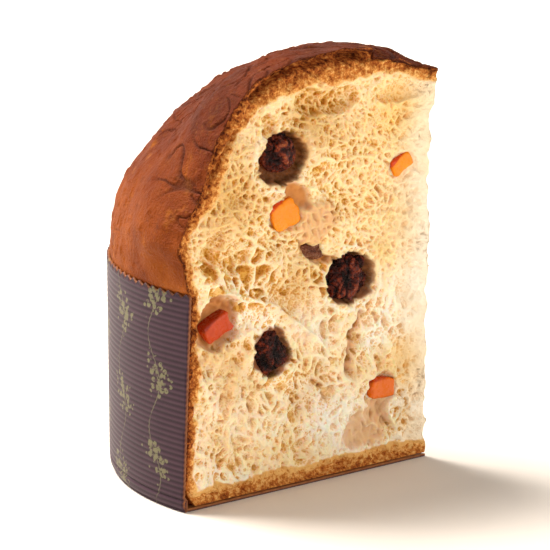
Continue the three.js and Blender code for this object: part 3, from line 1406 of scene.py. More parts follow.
@dataclass(frozen=True)
class MouldPaperFinish:
    """Dark plum baking paper, printed with small olive sprigs.

    Attributes:
        ground: The paper.
        groove: The paper in the grooves, darker as painted shade.
        light: The paper on the crests, lighter as painted light.
        print_colour: The sprigs.
        kraft: The paper's bare inside where it is light.
        umber: The same where it is dark.
        column: Width of one column of sprigs, in millimetres.
        drop: How much higher each column starts than the last.
        repeat: Distance from sprig to sprig up a column.
    """

    ground: str = "38222c"
    groove: str = "27161e"
    light: str = "432d36"
    print_colour: str = "7f7c55"
    kraft: str = "b06f3c"
    umber: str = "8c4f28"
    column: float = 22.0
    drop: float = 17.0
    repeat: float = 27.0

    def build(self, printed: bool) -> bpy.types.Material:
        """Make the material.

        Args:
            printed: Whether it has the sprigs.

        Returns:
            The material.
        """
        r = Recipe("printed_mould_paper" if printed else "plain_base_paper")
        clouds = r.times(r.minus(r.noise(9, 3), 0.5), 0.5)
        tones = ((0.0, self.groove), (0.55, self.ground), (1.0, self.light))
        # The flute value paints shade into the rib grooves and light onto the crests.
        paper = r.ramp(r.plus(r.value("flute_shading"), clouds), tones)
        if printed:
            paper = r.mix(r.times(self._sprigs(r), 0.75), paper, self.print_colour)
        bare = r.ramp(r.noise(2, 4), ((0.3, self.umber), (0.7, self.kraft)))
        r.set(
            Base_Color=r.mix(r.value("inside"), paper, bare),
            Roughness=0.52,
            Sheen_Weight=0.06,
            Sheen_Roughness=0.3,
            Specular_IOR_Level=0.16,
            Normal=r.bump(r.noise(0.5, 3), 0.05),
        )
        return r.material

    def _sprigs(self, r: Recipe) -> Socket:
        """Draw the print: leafy clusters on thin bent stems, in a loose half-drop repeat.

        Args:
            r: The material.

        Returns:
            How much ink each place has.
        """
        along, up, _ = r.split(r.uv())
        column = r.math("FLOOR", r.math("DIVIDE", along, self.column))
        shifted = r.plus(up, r.times(column, self.drop))
        x = r.minus(r.math("MODULO", along, self.column), self.column / 2)
        y = r.minus(r.math("PINGPONG", shifted, self.repeat), self.repeat / 2)
        bend = r.times(r.math("SINE", r.times(shifted, 0.2)), 3.0)
        from_stem = r.math("ABSOLUTE", r.minus(x, bend))
        spot = r.plus(r.times(r.math("POWER", from_stem, 2.0), 0.016),
                      r.times(r.math("POWER", r.math("ABSOLUTE", y), 2.0), 0.011))
        leaves = r.cells(2.4, r.join(along, r.times(up, 1.1)))
        leaves = r.ease(r.plus(leaves, r.times(spot, 0.5)), 0.66, 0.56)
        leaves = r.times(leaves, r.ease(r.noise(1.6, 3, where=r.join(along, up)), 0.4, 0.5))
        stem = r.times(r.ease(from_stem, 0.3, 0.14), r.ease(spot, 2.4, 1.2))
        return r.math("MAXIMUM", r.times(leaves, 0.8), r.times(stem, 0.55))


@dataclass(frozen=True)
class ChocolateFinish:
    """Broken dark chocolate, baked until it turned rough and a little glossy.

    Attributes:
        name: The material's name.
        tones: Its colours, from the cracks to the crests, so that shade is painted into the cracks and light
            onto the crests.
    """

    name: str = "baked_dark_chocolate"
    tones: tuple[str, str, str, str] = ("0a0201", "3a0f07", "7a2c13", "b8662f")

    def build(self) -> bpy.types.Material:
        """Make the material.

        Returns:
            The material.
        """
        r = Recipe(self.name)
        tone = r.times(r.noise(1.6, 5, 0.7), 0.75)
        # Painted shade and light: the colour darkens in the cracks and lightens on the crests.
        tone = r.plus(tone, r.times(r.value("bump"), 0.35))
        r.set(
            Base_Color=r.ramp(tone, tuple(zip((0.42, 0.54, 0.66, 0.8), self.tones))),
            Roughness=r.ease(r.noise(0.7, 3), 0.4, 0.6, 0.12, 0.6),
            Specular_IOR_Level=0.24,
            Normal=r.bump(r.plus(r.noise(0.8, 4, 0.7), r.times(r.cells(1.1), 0.9)), 0.8),
        )
        return r.material


@dataclass(frozen=True)
class CandiedOrangeFinish:
    """Candied orange peel: clear bright flesh under a redder rind.

    Attributes:
        flesh: The flesh.
        rind: The rind.
        clear: How far light soaks in, 0 to 1.
    """

    flesh: str
    rind: str
    clear: float = 0.5

    def build(self, name: str) -> bpy.types.Material:
        """Make the material.

        Args:
            name: The material's name.

        Returns:
            The material.
        """
        r = Recipe(name)
        clouds = r.times(r.minus(r.noise(3, 3), 0.5), 0.5)
        share = r.plus(r.value("rind"), clouds)
        r.set(
            Base_Color=r.mix(r.ease(share, 0.25, 0.75), self.flesh, self.rind),
            Roughness=r.ease(r.noise(1.5, 3), 0.3, 0.7, 0.16, 0.42),
            Subsurface_Weight=self.clear,
            Subsurface_Radius=(1.0, 0.5, 0.12),
            Subsurface_Scale=0.002,
            Coat_Weight=0.1,
            Coat_Roughness=0.15,
            Specular_IOR_Level=0.25,
            Normal=r.bump(r.noise(1.1, 3), 0.14),
        )
        return r.material


# ---------------- the loaf


@dataclass
class Loaf:
    """The baked slice: one body of crumb and crust, shown as a front and a rear half that overlap.

    Attributes:
        whole: The loaf that it was cut from.
        crumbs: The relief of its two cut faces.
        voxel: Width of the grid that its skin is made on, in millimetres.
        spin_steps: Steps around the whole loaf before it is cut.
        limit: Most triangles in one half.
        overlap: How far each half reaches into the other, in millimetres.
        scores: Directions of the scored grooves on the dome, in degrees.
        clear: How far the grooves keep from each cut face, in millimetres.
        values: The crumb's maps that are stored on the skin for the finish.
    """

    whole: WholeLoaf
    crumbs: tuple[Crumb, Crumb]
    voxel: float = 0.39
    spin_steps: int = 180
    limit: int = 194000
    overlap: float = 0.4
    scores: tuple[float, ...] = (110, 20)
    clear: tuple[float, float] = (26, 22)
    values: tuple[str, ...] = ("pit", "chocolate", "amber", "tan", "pale", "honey", "white", "yellow")

    def build(self) -> None:
        """Make the loaf and put it in the scene."""
        skin = with_modifier(self._cut_body(), "REMESH", mode="VOXEL", voxel_size=self.voxel)
        LOG.info("loaf skin: %d points", len(skin.vertices))
        self._relieve(skin)
        finish = BakedFinish().build()
        for name, side in (("loaf_front", 1), ("loaf_rear", -1)):
            half = thinned(self._half(skin, side), self.limit)
            half.transform(self.whole.to_row())
            add_piece(name, half, finish, "loaf")
        bpy.data.meshes.remove(skin)

    def _cut_body(self) -> bpy.types.Mesh:
        """Turn the loaf's outline about its axis, swell it and cut it with both knives.

        Returns:
            The closed body.
        """
        whole = self.whole
        bm = bmesh.new()
        step_layer = bm.verts.layers.float.new("step")
        drum = [
            (0.0, whole.loaf_bottom),
            (whole.loaf_radius - whole.rim_height, whole.loaf_bottom),
            (whole.loaf_radius - 1, whole.loaf_bottom + whole.rim_height),
            (whole.loaf_radius, 2 * whole.rim_height),
        ]
        steps = np.linspace(0, len(whole.dome_low) - 1, 6 * len(whole.dome_low) - 5)
        dome = whole.outline(whole.dome_low, steps)
        points = [(r, z, -1.0) for r, z in drum] + [(r, z, s) for (r, z), s in zip(dome, steps)]
        verts = []
        for radius, height, step in points:
            vert = bm.verts.new((radius, 0, height))
            vert[step_layer] = step
            verts.append(vert)
        turn_about_axis(bm, verts, 2 * math.pi, self.spin_steps)
        places = np.array([vert.co[:] for vert in bm.verts])
        baked = whole.bake(places, np.array([vert[step_layer] for vert in bm.verts]))
        radius = np.hypot(baked[:, 0], baked[:, 1])
        held = (baked[:, 2] < whole.mould_height) & (radius > whole.loaf_radius)
        tucked = np.where(held, whole.loaf_radius / np.maximum(radius, TINY), 1)
        for vert, place, tuck in zip(bm.verts, baked, tucked):
            vert.co = (place[0] * tuck, place[1] * tuck, place[2])
        for crumb in self.crumbs:
            rim = cut_off(bm, crumb.face.corner, crumb.face.normal())
            bmesh.ops.holes_fill(bm, edges=rim, sides=0)
        bmesh.ops.triangulate(bm, faces=bm.faces[:])
        bmesh.ops.recalc_face_normals(bm, faces=bm.faces[:])
        return as_mesh(bm, "cut_body")

    def _relieve(self, skin: bpy.types.Mesh) -> None:
        """Press the crumb's relief into both faces, roughen the crust, and store what colours them.

        Args:
            skin: The loaf's skin.
        """
        points, normals = mesh_arrays(skin)
        moved = points.copy()
        outside = np.ones(len(points))
        values = {name: np.zeros(len(points)) for name in self.values}
        values["crust"] = np.ones(len(points))
        for crumb in self.crumbs:
            u, v, depth = crumb.face.read(points)
            facing = normals @ np.array(crumb.face.normal())
            share = smooth(0.3, 0.85, facing) * smooth(1.2, 0.6, depth)
            moved -= np.array(crumb.face.out)[None, :] * (share * crumb.sample("relief", u, v))[:, None]
            outside *= 1 - share
            for name, value in values.items():
                values[name] = value * (1 - share) + share * crumb.sample(name, u, v)
        relief, crease = self._crust_relief(points)
        grooves, torn = self._score(points)
        moved += normals * ((relief + grooves) * outside)[:, None]
        moved += self._raised_flap(points)
        moved += self._ragged_edge(points)
        write_points(skin, moved)
        write_value(skin, "outside", outside)
        # Where the wrinkles lie, for the finish to paint shade into them.
        write_value(skin, "crease", crease * outside)
        corner, normal = self._join()
        write_value(skin, "join", smooth(9, 3, np.abs((points - np.array(corner)) @ np.array(normal))))
        write_value(skin, "torn", torn * outside)
        for name, value in values.items():
            write_value(skin, name, value)

    def _crust_relief(self, points: Array) -> tuple[Array, Array]:
        """Work out the lumps, wrinkles and blisters of the crust.

        Args:
            points: Places on the crust.

        Returns:
            The relief, and where its wrinkles are.
        """
        lumps = noise(points, 21, 1) + 0.7 * noise(points, 10, 2) + 0.3 * noise(points, 4.5, 3)
        bent = points * np.array((1, 1, 1.7)) + 2.5 * noise(points, 6, 12)[:, None]
        crease = smooth(0.1, 0.0, np.abs(noise(bent, 12, 4))) * smooth(0.0, 0.35, noise(points, 22, 5))
        finer = 0.8 * smooth(0.1, 0.0, np.abs(noise(bent, 6.5, 13)))
        crease = np.maximum(crease, finer * smooth(0.25, 0.6, noise(points, 17, 14)))
        blisters = 0.35 * smooth(0.3, 0.75, noise(points, 2.8, 6)) + 0.12 * noise(points, 1.3, 7)
        above = smooth(self.whole.mould_height - 1, self.whole.mould_height + 5, points[:, 2])
        return (lumps - 0.8 * crease + blisters) * above, crease * above

    def _score(self, points: Array) -> tuple[Array, Array]:
        """Work out the grooves where the dough was scored in a cross before baking.

        Args:
            points: Places on the crust.

        Returns:
            The relief of the grooves with their lifted edges, and how much torn dough shows.
        """
        relief, torn = np.zeros(len(points)), np.zeros(len(points))
        wobble = 2.2 * noise(points, 14, 8)
        above = smooth(self.whole.mould_height + 8, self.whole.mould_height + 24, points[:, 2])
        for crumb, clear in zip(self.crumbs, self.clear):
            above = above * smooth(0.45 * clear, clear, crumb.face.read(points)[2])
        for degrees in self.scores:
            cosine, sine = turned(degrees)
            along = points[:, 0] * cosine + points[:, 1] * sine
            across = np.abs(points[:, 1] * cosine - points[:, 0] * sine + wobble)
            reach = above * smooth(8, 20, along)
            relief += reach * (1.3 * np.exp(-((across - 6) / 2.4) ** 2) - 2.4 * np.exp(-(across / 3.2) ** 2))
            torn = np.maximum(torn, reach * smooth(4.6, 2.2, across))
        return relief, torn

    def _raised_flap(self, points: Array) -> Array:
        """Lift the crust's edge along the top of the first face, up to where the flap ends.

        Args:
            points: Places on the skin.

        Returns:
            How far each place moves.
        """
        u, _, depth = self.crumbs[0].face.read(points)
        top = smooth(128, 136, points[:, 2]) * smooth(20, 44, u) * smooth(71.4, 70.4, u)
        rind = self.whole.under_crust(points)
        plate = top * smooth(2.6, 1.6, rind)
        lift = 1.5 * plate * smooth(12, 0, depth)
        push = 1.2 * plate * smooth(4, 0, depth) * (1 + 0.5 * noise(points, 5, 21))
        fall = 1.3 * smooth(70.4, 71.4, u) * smooth(130, 134, points[:, 2])
        fall = fall * smooth(2.6, 1.2, rind) * smooth(14, 2, depth)
        return np.stack([np.zeros_like(u), -push, lift - fall], 1)

    def _ragged_edge(self, points: Array) -> Array:
        """Fray the thin edge where the two cuts meet, and let its top corner stand out.

        Args:
            points: Places on the skin.

        Returns:
            How far each place moves.
        """
        first, second = (crumb.face.read(points)[2] for crumb in self.crumbs)
        near = smooth(9, 0.5, np.hypot(first, second))
        column = points * (0, 0, 1)
        fray = 0.9 * noise(column, 4.2, 9) + 0.7 * noise(points, 1.9, 10) - 0.3
        flare = 3.8 * smooth(116, 127, points[:, 2]) + 1.2 * smooth(7, 3, points[:, 2])
        outward = np.array(self.crumbs[1].face.out) * 0.8 + np.array(self.crumbs[0].face.out) * 0.5
        return outward[None, :] * ((fray + flare) * near)[:, None]

    def _join(self) -> tuple[Vector, Vector]:
        """Find the plane between the halves.

        Returns:
            A point on the thin edge, and the plane's normal.
        """
        front, rear = (crumb.face.normal() for crumb in self.crumbs)
        return Vector(self.crumbs[1].face.corner), front.cross(rear).cross(front + rear).normalized()

    def _half(self, skin: bpy.types.Mesh, side: int) -> bpy.types.Mesh:
        """Keep one half of the skin, on one side of the plane between the cuts.

        Args:
            skin: The whole skin.
            side: 1 for the first face's half, -1 for the second's.

        Returns:
            The closed half.
        """
        bm = bmesh.new()
        bm.from_mesh(skin)
        corner, normal = self._join()
        toward = normal.dot(Vector(self.crumbs[0].face.out)) > 0
        normal = normal * (-side if toward else side)
        rim = cut_off(bm, corner + normal * self.overlap, normal)
        bmesh.ops.holes_fill(bm, edges=rim, sides=0)
        bmesh.ops.triangulate(bm, faces=bm.faces[:])
        return as_mesh(bm, "half")


# ---------------- the paper mould


@dataclass
class MouldWall:
    """The ribbed paper wall, with a zigzag top and a rolled foot.

    Attributes:
        whole: The loaf that it belongs to.
        thickness: Thickness of the paper.
        rib_pitch: Height of one rib.
        rib_depth: How far the ribs stand out.
        rib_steps: Steps over one rib.
        tooth_pitch: Width of one tooth.
        tooth_depth: Depth of the notches.
        tooth_reach: Height of the paper that is drawn down into the notches, in depths of a notch.
        hem_height: Height of the line that the rolled foot ends at.
        start_degrees: Where the wall starts about the axis, before it is cut.
        turn_degrees: How far it goes round.
    """

    whole: WholeLoaf
    thickness: float = 1.0
    rib_pitch: float = 1.8
    rib_depth: float = 0.18
    rib_steps: int = 6
    tooth_pitch: float = 4.0
    tooth_depth: float = 1.6
    tooth_reach: float = 1.35
    hem_height: float = 4.2
    start_degrees: float = 102
    turn_degrees: float = 94

    def build(self) -> None:
        """Make the wall and put it in the scene."""
        whole = self.whole
        start, turn = math.radians(self.start_degrees), math.radians(self.turn_degrees)
        columns = int(turn * whole.mould_radius / (self.tooth_pitch / 4)) // 4 * 4
        turn = columns * (self.tooth_pitch / 4) / whole.mould_radius
        rows = int(whole.mould_height / self.rib_pitch * self.rib_steps)
        bm = bmesh.new()
        verts = []
        for height in np.linspace(0, whole.mould_height, rows + 1):
            radius = whole.mould_radius - self._inset(height)
            verts.append(bm.verts.new((radius * math.cos(start), radius * math.sin(start), height)))
        turn_about_axis(bm, verts, turn, columns)
        low = whole.mould_height - self.tooth_reach * self.tooth_depth
        for vert in bm.verts:
            run = (math.atan2(vert.co.y, vert.co.x) % (2 * math.pi) - start) * whole.mould_radius
            notch = self.tooth_depth * abs(2 * (run / self.tooth_pitch % 1) - 1)
            vert.co.z -= notch * max(vert.co.z - low, 0) / (whole.mould_height - low)
        centres = [(face.normal, face.calc_center_median()) for face in bm.faces]
        if sum(normal.x * centre.x + normal.y * centre.y for normal, centre in centres) < 0:
            bmesh.ops.reverse_faces(bm, faces=bm.faces[:])
        bmesh.ops.solidify(bm, geom=bm.faces[:], thickness=self.thickness)
        cut_to_slice(bm, whole)
        mesh = as_mesh(bm, "wall")
        points, _ = mesh_arrays(mesh)
        outer = whole.mould_radius - np.array([self._inset(z) for z in points[:, 2]])
        write_value(mesh, "inside", smooth(0.25, 0.6, outer - np.hypot(points[:, 0], points[:, 1])))
        # Painted shade and light by the ribs: 0 in a groove, 1 on a crest.
        write_value(mesh, "flute_shading", 1 - np.clip(self._rib(points[:, 2]), 0, 1))
        wrap_uv(mesh, whole.mould_radius)
        mesh.transform(whole.to_row())
        add_piece("mould_wall_paper", mesh, MouldPaperFinish().build(True), "mould_wall")

    def _rib(self, height: Array) -> Array:
        """Tell how deep a height lies in its rib: 0 on the crest, 1 in the groove."""
        return 0.5 - 0.5 * np.cos(2 * math.pi * np.asarray(height) / self.rib_pitch)

    def _inset(self, height: float) -> float:
        """Work out how far the wall's outside lies inside its largest radius.

        Args:
            height: Height over the floor.

        Returns:
            The distance.
        """
        ribs = self.rib_depth * float(self._rib(height))
        foot = 1.1 * float(smooth(3.0, 0.0, np.array(height))) ** 1.5
        hem = 0.45 * math.exp(-((height - self.hem_height) / 0.35) ** 2)
        return ribs + foot + hem


@dataclass
class MouldBase:
    """The paper base: a disc with a low upturned rim, standing inside the wall.

    Attributes:
        whole: The loaf that it belongs to.
        thickness: Thickness of the paper.
        rim_height: Height of the rim.
        bend: Radius of the bend between disc and rim.
        rings: Rings of faces in the disc.
        spin_steps: Steps around the whole base before it is cut.
    """

    whole: WholeLoaf
    thickness: float = 0.9
    rim_height: float = 4.0
    bend: float = 1.6
    rings: int = 39
    spin_steps: int = 240

    def build(self) -> None:
        """Make the base and put it in the scene."""
        whole = self.whole
        radius = whole.loaf_radius
        corner = [(radius - self.bend + self.bend * math.sin(a), self.bend - self.bend * math.cos(a))
                  for a in np.radians(np.linspace(0, 90, 7))]
        bm = bmesh.new()
        disc = [(r, 0.0) for r in np.linspace(0, radius - self.bend, self.rings + 1)]
        profile = disc[:-1] + corner + [(radius, self.rim_height)]
        verts = [bm.verts.new((r, 0, z)) for r, z in profile]
        turn_about_axis(bm, verts, 2 * math.pi, self.spin_steps)
        bmesh.ops.recalc_face_normals(bm, faces=bm.faces[:])
        if min(bm.faces, key=lambda face: face.calc_center_median().length).normal.z > 0:
            bmesh.ops.reverse_faces(bm, faces=bm.faces[:])
        bmesh.ops.solidify(bm, geom=bm.faces[:], thickness=self.thickness)
        cut_to_slice(bm, whole)
        mesh = as_mesh(bm, "base")
        points, _ = mesh_arrays(mesh)
        radius_here = np.hypot(points[:, 0], points[:, 1])
        inner = np.minimum(smooth(0.3, 0.7, points[:, 2]), smooth(radius - 0.3, radius - 0.7, radius_here))
        write_value(mesh, "inside", inner)
        # The base has no ribs: one tone between the painted groove shade and crest light.
        write_value(mesh, "flute_shading", np.full(len(points), 0.7))
        mesh.transform(whole.to_row())
        add_piece("mould_base_paper", mesh, MouldPaperFinish().build(False), "mould_base")


def cut_to_slice(bm: bmesh.types.BMesh, whole: WholeLoaf) -> None:
    """Cut a turned shape with both knives and close the cuts.

    Args:
        bm: The shape.
        whole: The loaf that the cuts belong to.
    """
    for face in (whole.first_face(), whole.second_face()):
        rim = cut_off(bm, face.corner, face.normal(), 1e-4)
        bmesh.ops.triangle_fill(bm, edges=rim, use_beauty=True, use_dissolve=False, normal=face.normal())
    if bm.calc_volume(signed=True) < 0:
        bmesh.ops.reverse_faces(bm, faces=bm.faces[:])


def wrap_uv(mesh: bpy.types.Mesh, radius: float) -> None:
    """Lay a mesh's UV map around the axis: millimetres along the arc, and height.

    Args:
        mesh: The mesh, still about the axis.
        radius: Radius of the arc.
    """
    layer = mesh.uv_layers.new(name="wrap")
    for loop, place in zip(mesh.loops, layer.data):
        point = mesh.vertices[loop.vertex_index].co
        place.uv = ((math.atan2(point.y, point.x) % (2 * math.pi)) * radius, point.z)


# ---------------- what is baked into the loaf


@dataclass(frozen=True)
class Setting:
    """Where a piece sits in a cut face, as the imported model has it.

    Attributes:
        node: Its CAD node.
        face: The face that shows it.
        along: Its middle along the face.
        up: Its middle over the floor.
        inward: Its middle behind the face.
        size: Its length along the face, its depth and its height.
        turn: Its turn about the face's normal, in radians.
        sunk: How much deeper the visible piece sits, so that the crumb's rim stands round it.
    """

    node: str
    face: CutFace
    along: float
    up: float
    inward: float
    size: Place
    turn: float
    sunk: float = 1.7

    def matrix(self, whole: WholeLoaf) -> Matrix:
        """Work out what stands a shape of unit size at its place.

        Args:
            whole: The loaf that the face belongs to.

        Returns:
            The move to the row frame.
        """
        turn = Matrix.Rotation(-self.turn, 4, "Y")
        size = Matrix.Diagonal((*self.size, 1))
        place = Matrix.Translation(self.face.place(self.along, self.up, self.inward + self.sunk))
        return whole.to_row() @ place @ self.face.basis() @ turn @ size


@dataclass
class ChocolateChunk:
    """A broken chunk of dark chocolate, bubbled and split by baking.

    Attributes:
        setting: Where it sits.
        whole: The loaf that holds it.
        seed: Which chunk.
        subdivisions: How fine its surface is.
    """

    setting: Setting
    whole: WholeLoaf
    seed: int
    subdivisions: int = 6

    def build(self, material: bpy.types.Material) -> None:
        """Make the chunk and put it in the scene.

        Args:
            material: Its finish.
        """
        bm = bmesh.new()
        bmesh.ops.create_icosphere(bm, subdivisions=self.subdivisions, radius=0.5)
        mesh = as_mesh(bm, "chunk")
        points, _ = mesh_arrays(mesh)
        size = np.array(self.setting.size)
        real = points * size + 40 * self.seed
        lump = 0.24 * noise(real, 6, 1) + 0.14 * noise(real, 3.1, 2)
        lump = lump + 0.12 * noise(real, 1.5, 3) + 0.06 * noise(real, 0.7, 4)
        cracks = smooth(0.14, 0.0, np.abs(noise(real, 4.2, 5)))
        cracks = cracks + 0.7 * smooth(0.12, 0.0, np.abs(noise(real, 2.3, 6)))
        shape = 1.04 + lump - 0.08 * cracks
        write_points(mesh, points * np.clip(shape, 0.5, 1.16)[:, None])
        # Relief kept for the finish, which paints shade into the cracks and light onto the crests.
        write_value(mesh, "bump", np.clip(0.5 + 1.6 * lump - 0.4 * cracks, 0, 1))
        mesh.transform(self.setting.matrix(self.whole))
        add_piece(self.setting.node + "_baked", mesh, material, self.setting.node)


@dataclass
class OrangeCube:
    """A cube of candied orange peel with soft corners and a redder rind on one side.

    Attributes:
        setting: Where it sits.
        whole: The loaf that holds it.
        seed: Which cube.
        corner: Width of its bevelled corners, as a share of the cube.
        shrink: Its share of the CAD cube's size.
        reach: How far its bent surface may reach from the middle, as a share of the CAD cube.
        rind_side: Where the rind is, from its middle.
    """

    setting: Setting
    whole: WholeLoaf
    seed: int
    corner: float = 0.15
    shrink: float = 0.92
    reach: float = 0.53
    rind_side: Place = (-0.3, 0.2, 0.9)

    def build(self, material: bpy.types.Material) -> None:
        """Make the cube and put it in the scene.

        Args:
            material: Its finish.
        """
        bm = bmesh.new()
        bmesh.ops.create_cube(bm, size=1)
        bmesh.ops.bevel(bm, geom=bm.edges[:], offset=self.corner, offset_type="OFFSET", affect="EDGES",
                        segments=4, profile=0.5, material=-1, clamp_overlap=True)
        bmesh.ops.subdivide_edges(bm, edges=bm.edges[:], cuts=5, use_grid_fill=True)
        bmesh.ops.triangulate(bm, faces=bm.faces[:])
        mesh = as_mesh(bm, "cube")
        points, _ = mesh_arrays(mesh)
        real = points * np.array(self.setting.size)
        bent = 0.05 * noise(real, 6, self.seed)[:, None] * np.array((1, 0.4, -0.8))
        bent = bent + 0.02 * noise(real, 2, self.seed + 1)[:, None]
        taper = 1 - 0.16 * (points[:, 2] + 0.5) * (0.5 + 0.5 * math.sin(self.seed))
        moved = points * taper[:, None] + bent
        moved[:, 1] += 0.06 * np.cos(points[:, 0] * 3)
        lump = 1 + 0.08 * noise(real, 3.2, self.seed + 2) + 0.03 * noise(real, 1.1, self.seed + 3)
        moved = moved * lump[:, None]
        write_points(mesh, np.clip(self.shrink * moved, -self.reach, self.reach))
        side = Vector(self.rind_side).normalized()
        write_value(mesh, "rind", smooth(0.12, 0.46, points @ np.array(side)))
        mesh.transform(self.setting.matrix(self.whole))
        add_piece(self.setting.node + "_candied", mesh, material, self.setting.node)


# ---------------- the studio


@dataclass
class Studio:
    """Pale floor, low white backdrop, soft lights and the camera.

    Attributes:
        middle: What the camera looks at, in metres.
        eye: Where the camera stands, in metres.
        lens: Focal length in millimetres.
        sensor: Width of the camera's sensor in millimetres.
        floor_reach: Half width of the floor.
        floor_tones: Its two colours.
        glow: Distances from the slice where the floor starts to glow and where it glows most.
        ring_radius: Radius of the backdrop.
        ring_height: Height of the backdrop.
        room_light: Strength of the light from all round.
        lamps: Each lamp's name, place, width, power and tint.
    """

    middle: Place
    eye: Place
    lens: float = 188
    sensor: float = 36
    floor_reach: float = 6
    floor_tones: tuple[str, str] = ("e9e0d6", "ece4da")
    glow: tuple[float, float] = (0.45, 1.1)
    ring_radius: float = 3.5
    ring_height: float = 0.6
    room_light: float = 0.3
    lamps: tuple[tuple[str, Place, float, float, str], ...] = (
        ("overhead", (-0.3, 0.5, 1.1), 0.6, 36, "fffaf4"),
        ("front_low", (0.15, -1.0, 0.48), 0.5, 3.0, "fff8ee"),
        ("left_strip", (-1.1, 0.3, 0.35), 0.4, 1.4, "ffffff"),
    )

    def build(self) -> None:
        """Make the floor, backdrop, lights and camera."""
        self._floor()
        self._backdrop()
        for lamp in self.lamps:
            self._lamp(*lamp)
        world = bpy.data.worlds.new("soft_room")
        world.use_nodes = True
        room = world.node_tree.nodes["Background"]
        room.inputs["Color"].default_value = srgb("ffffff")
        room.inputs["Strength"].default_value = self.room_light
        bpy.context.scene.world = world
        bpy.context.scene.view_settings.view_transform = "Standard"
        self._camera()

    def _floor(self) -> None:
        """Lay a wide pale floor that is lit up to white away from the slice."""
        bm = bmesh.new()
        bmesh.ops.create_grid(bm, x_segments=8, y_segments=8, size=self.floor_reach)
        r = Recipe("pale_floor")
        x, y, _ = r.split(r.place)
        away = r.math("SQRT", r.plus(r.times(x, x), r.times(y, y)))
        r.set(
            Base_Color=r.ramp(r.noise(900, 2), tuple(zip((0.0, 1.0), self.floor_tones))),
            Roughness=0.85,
            Specular_IOR_Level=0.1,
            Emission_Color=srgb("ffffff"),
            Emission_Strength=r.ease(away, *self.glow, 0.0, 0.85),
        )
        self._set_up("studio_floor", bm, r.material)

    def _backdrop(self) -> None:
        """Stand a low white ring of paper far round the slice, lit from its own side."""
        bm = bmesh.new()
        bmesh.ops.create_circle(bm, cap_ends=False, radius=self.ring_radius, segments=96)
        wall = bmesh.ops.extrude_edge_only(bm, edges=bm.edges[:])
        upper = [part for part in wall["geom"] if isinstance(part, bmesh.types.BMVert)]
        bmesh.ops.translate(bm, vec=(0, 0, self.ring_height), verts=upper)
        r = Recipe("white_backdrop")
        r.set(Base_Color=srgb("f4f4f4"), Roughness=0.9, Emission_Color=srgb("ffffff"), Emission_Strength=1.0)
        self._set_up("studio_backdrop", bm, r.material)

    def _set_up(self, name: str, bm: bmesh.types.BMesh, material: bpy.types.Material) -> None:
        """Put a piece of the studio in the scene.

        Args:
            name: Its name.
            bm: Its shape, which is used up.
            material: Its finish.
        """
        piece = bpy.data.objects.new(name, as_mesh(bm, name))
        bpy.context.scene.collection.objects.link(piece)
        piece.data.materials.append(material)

    def _lamp(self, name: str, place: Place, size: float, power: float, tint: str) -> None:
        """Put up one soft square lamp that faces the slice.

        Args:
            name: Its name.
            place: Where it hangs, in metres.
            size: Its width in metres.
            power: Its power in watts.
            tint: Its web colour.
        """
        lamp = bpy.data.lights.new(name, "AREA")
        lamp.size, lamp.energy, lamp.color = size, power, srgb(tint)[:3]
        holder = bpy.data.objects.new(name, lamp)
        holder.location = place
        holder.rotation_euler = (Vector(place) - Vector(self.middle)).to_track_quat("Z", "Y").to_euler()
        bpy.context.scene.collection.objects.link(holder)

    def _camera(self) -> None:
        """Stand the camera and aim it."""
        data = bpy.data.cameras.new("camera")
        data.lens, data.sensor_width, data.clip_end = self.lens, self.sensor, 50
        camera = bpy.data.objects.new("camera", data)
        camera.location = self.eye
        camera.rotation_euler = (Vector(self.eye) - Vector(self.middle)).to_track_quat("Z", "Y").to_euler()
        bpy.context.scene.collection.objects.link(camera)
        bpy.context.scene.camera = camera


# ---------------- putting it together


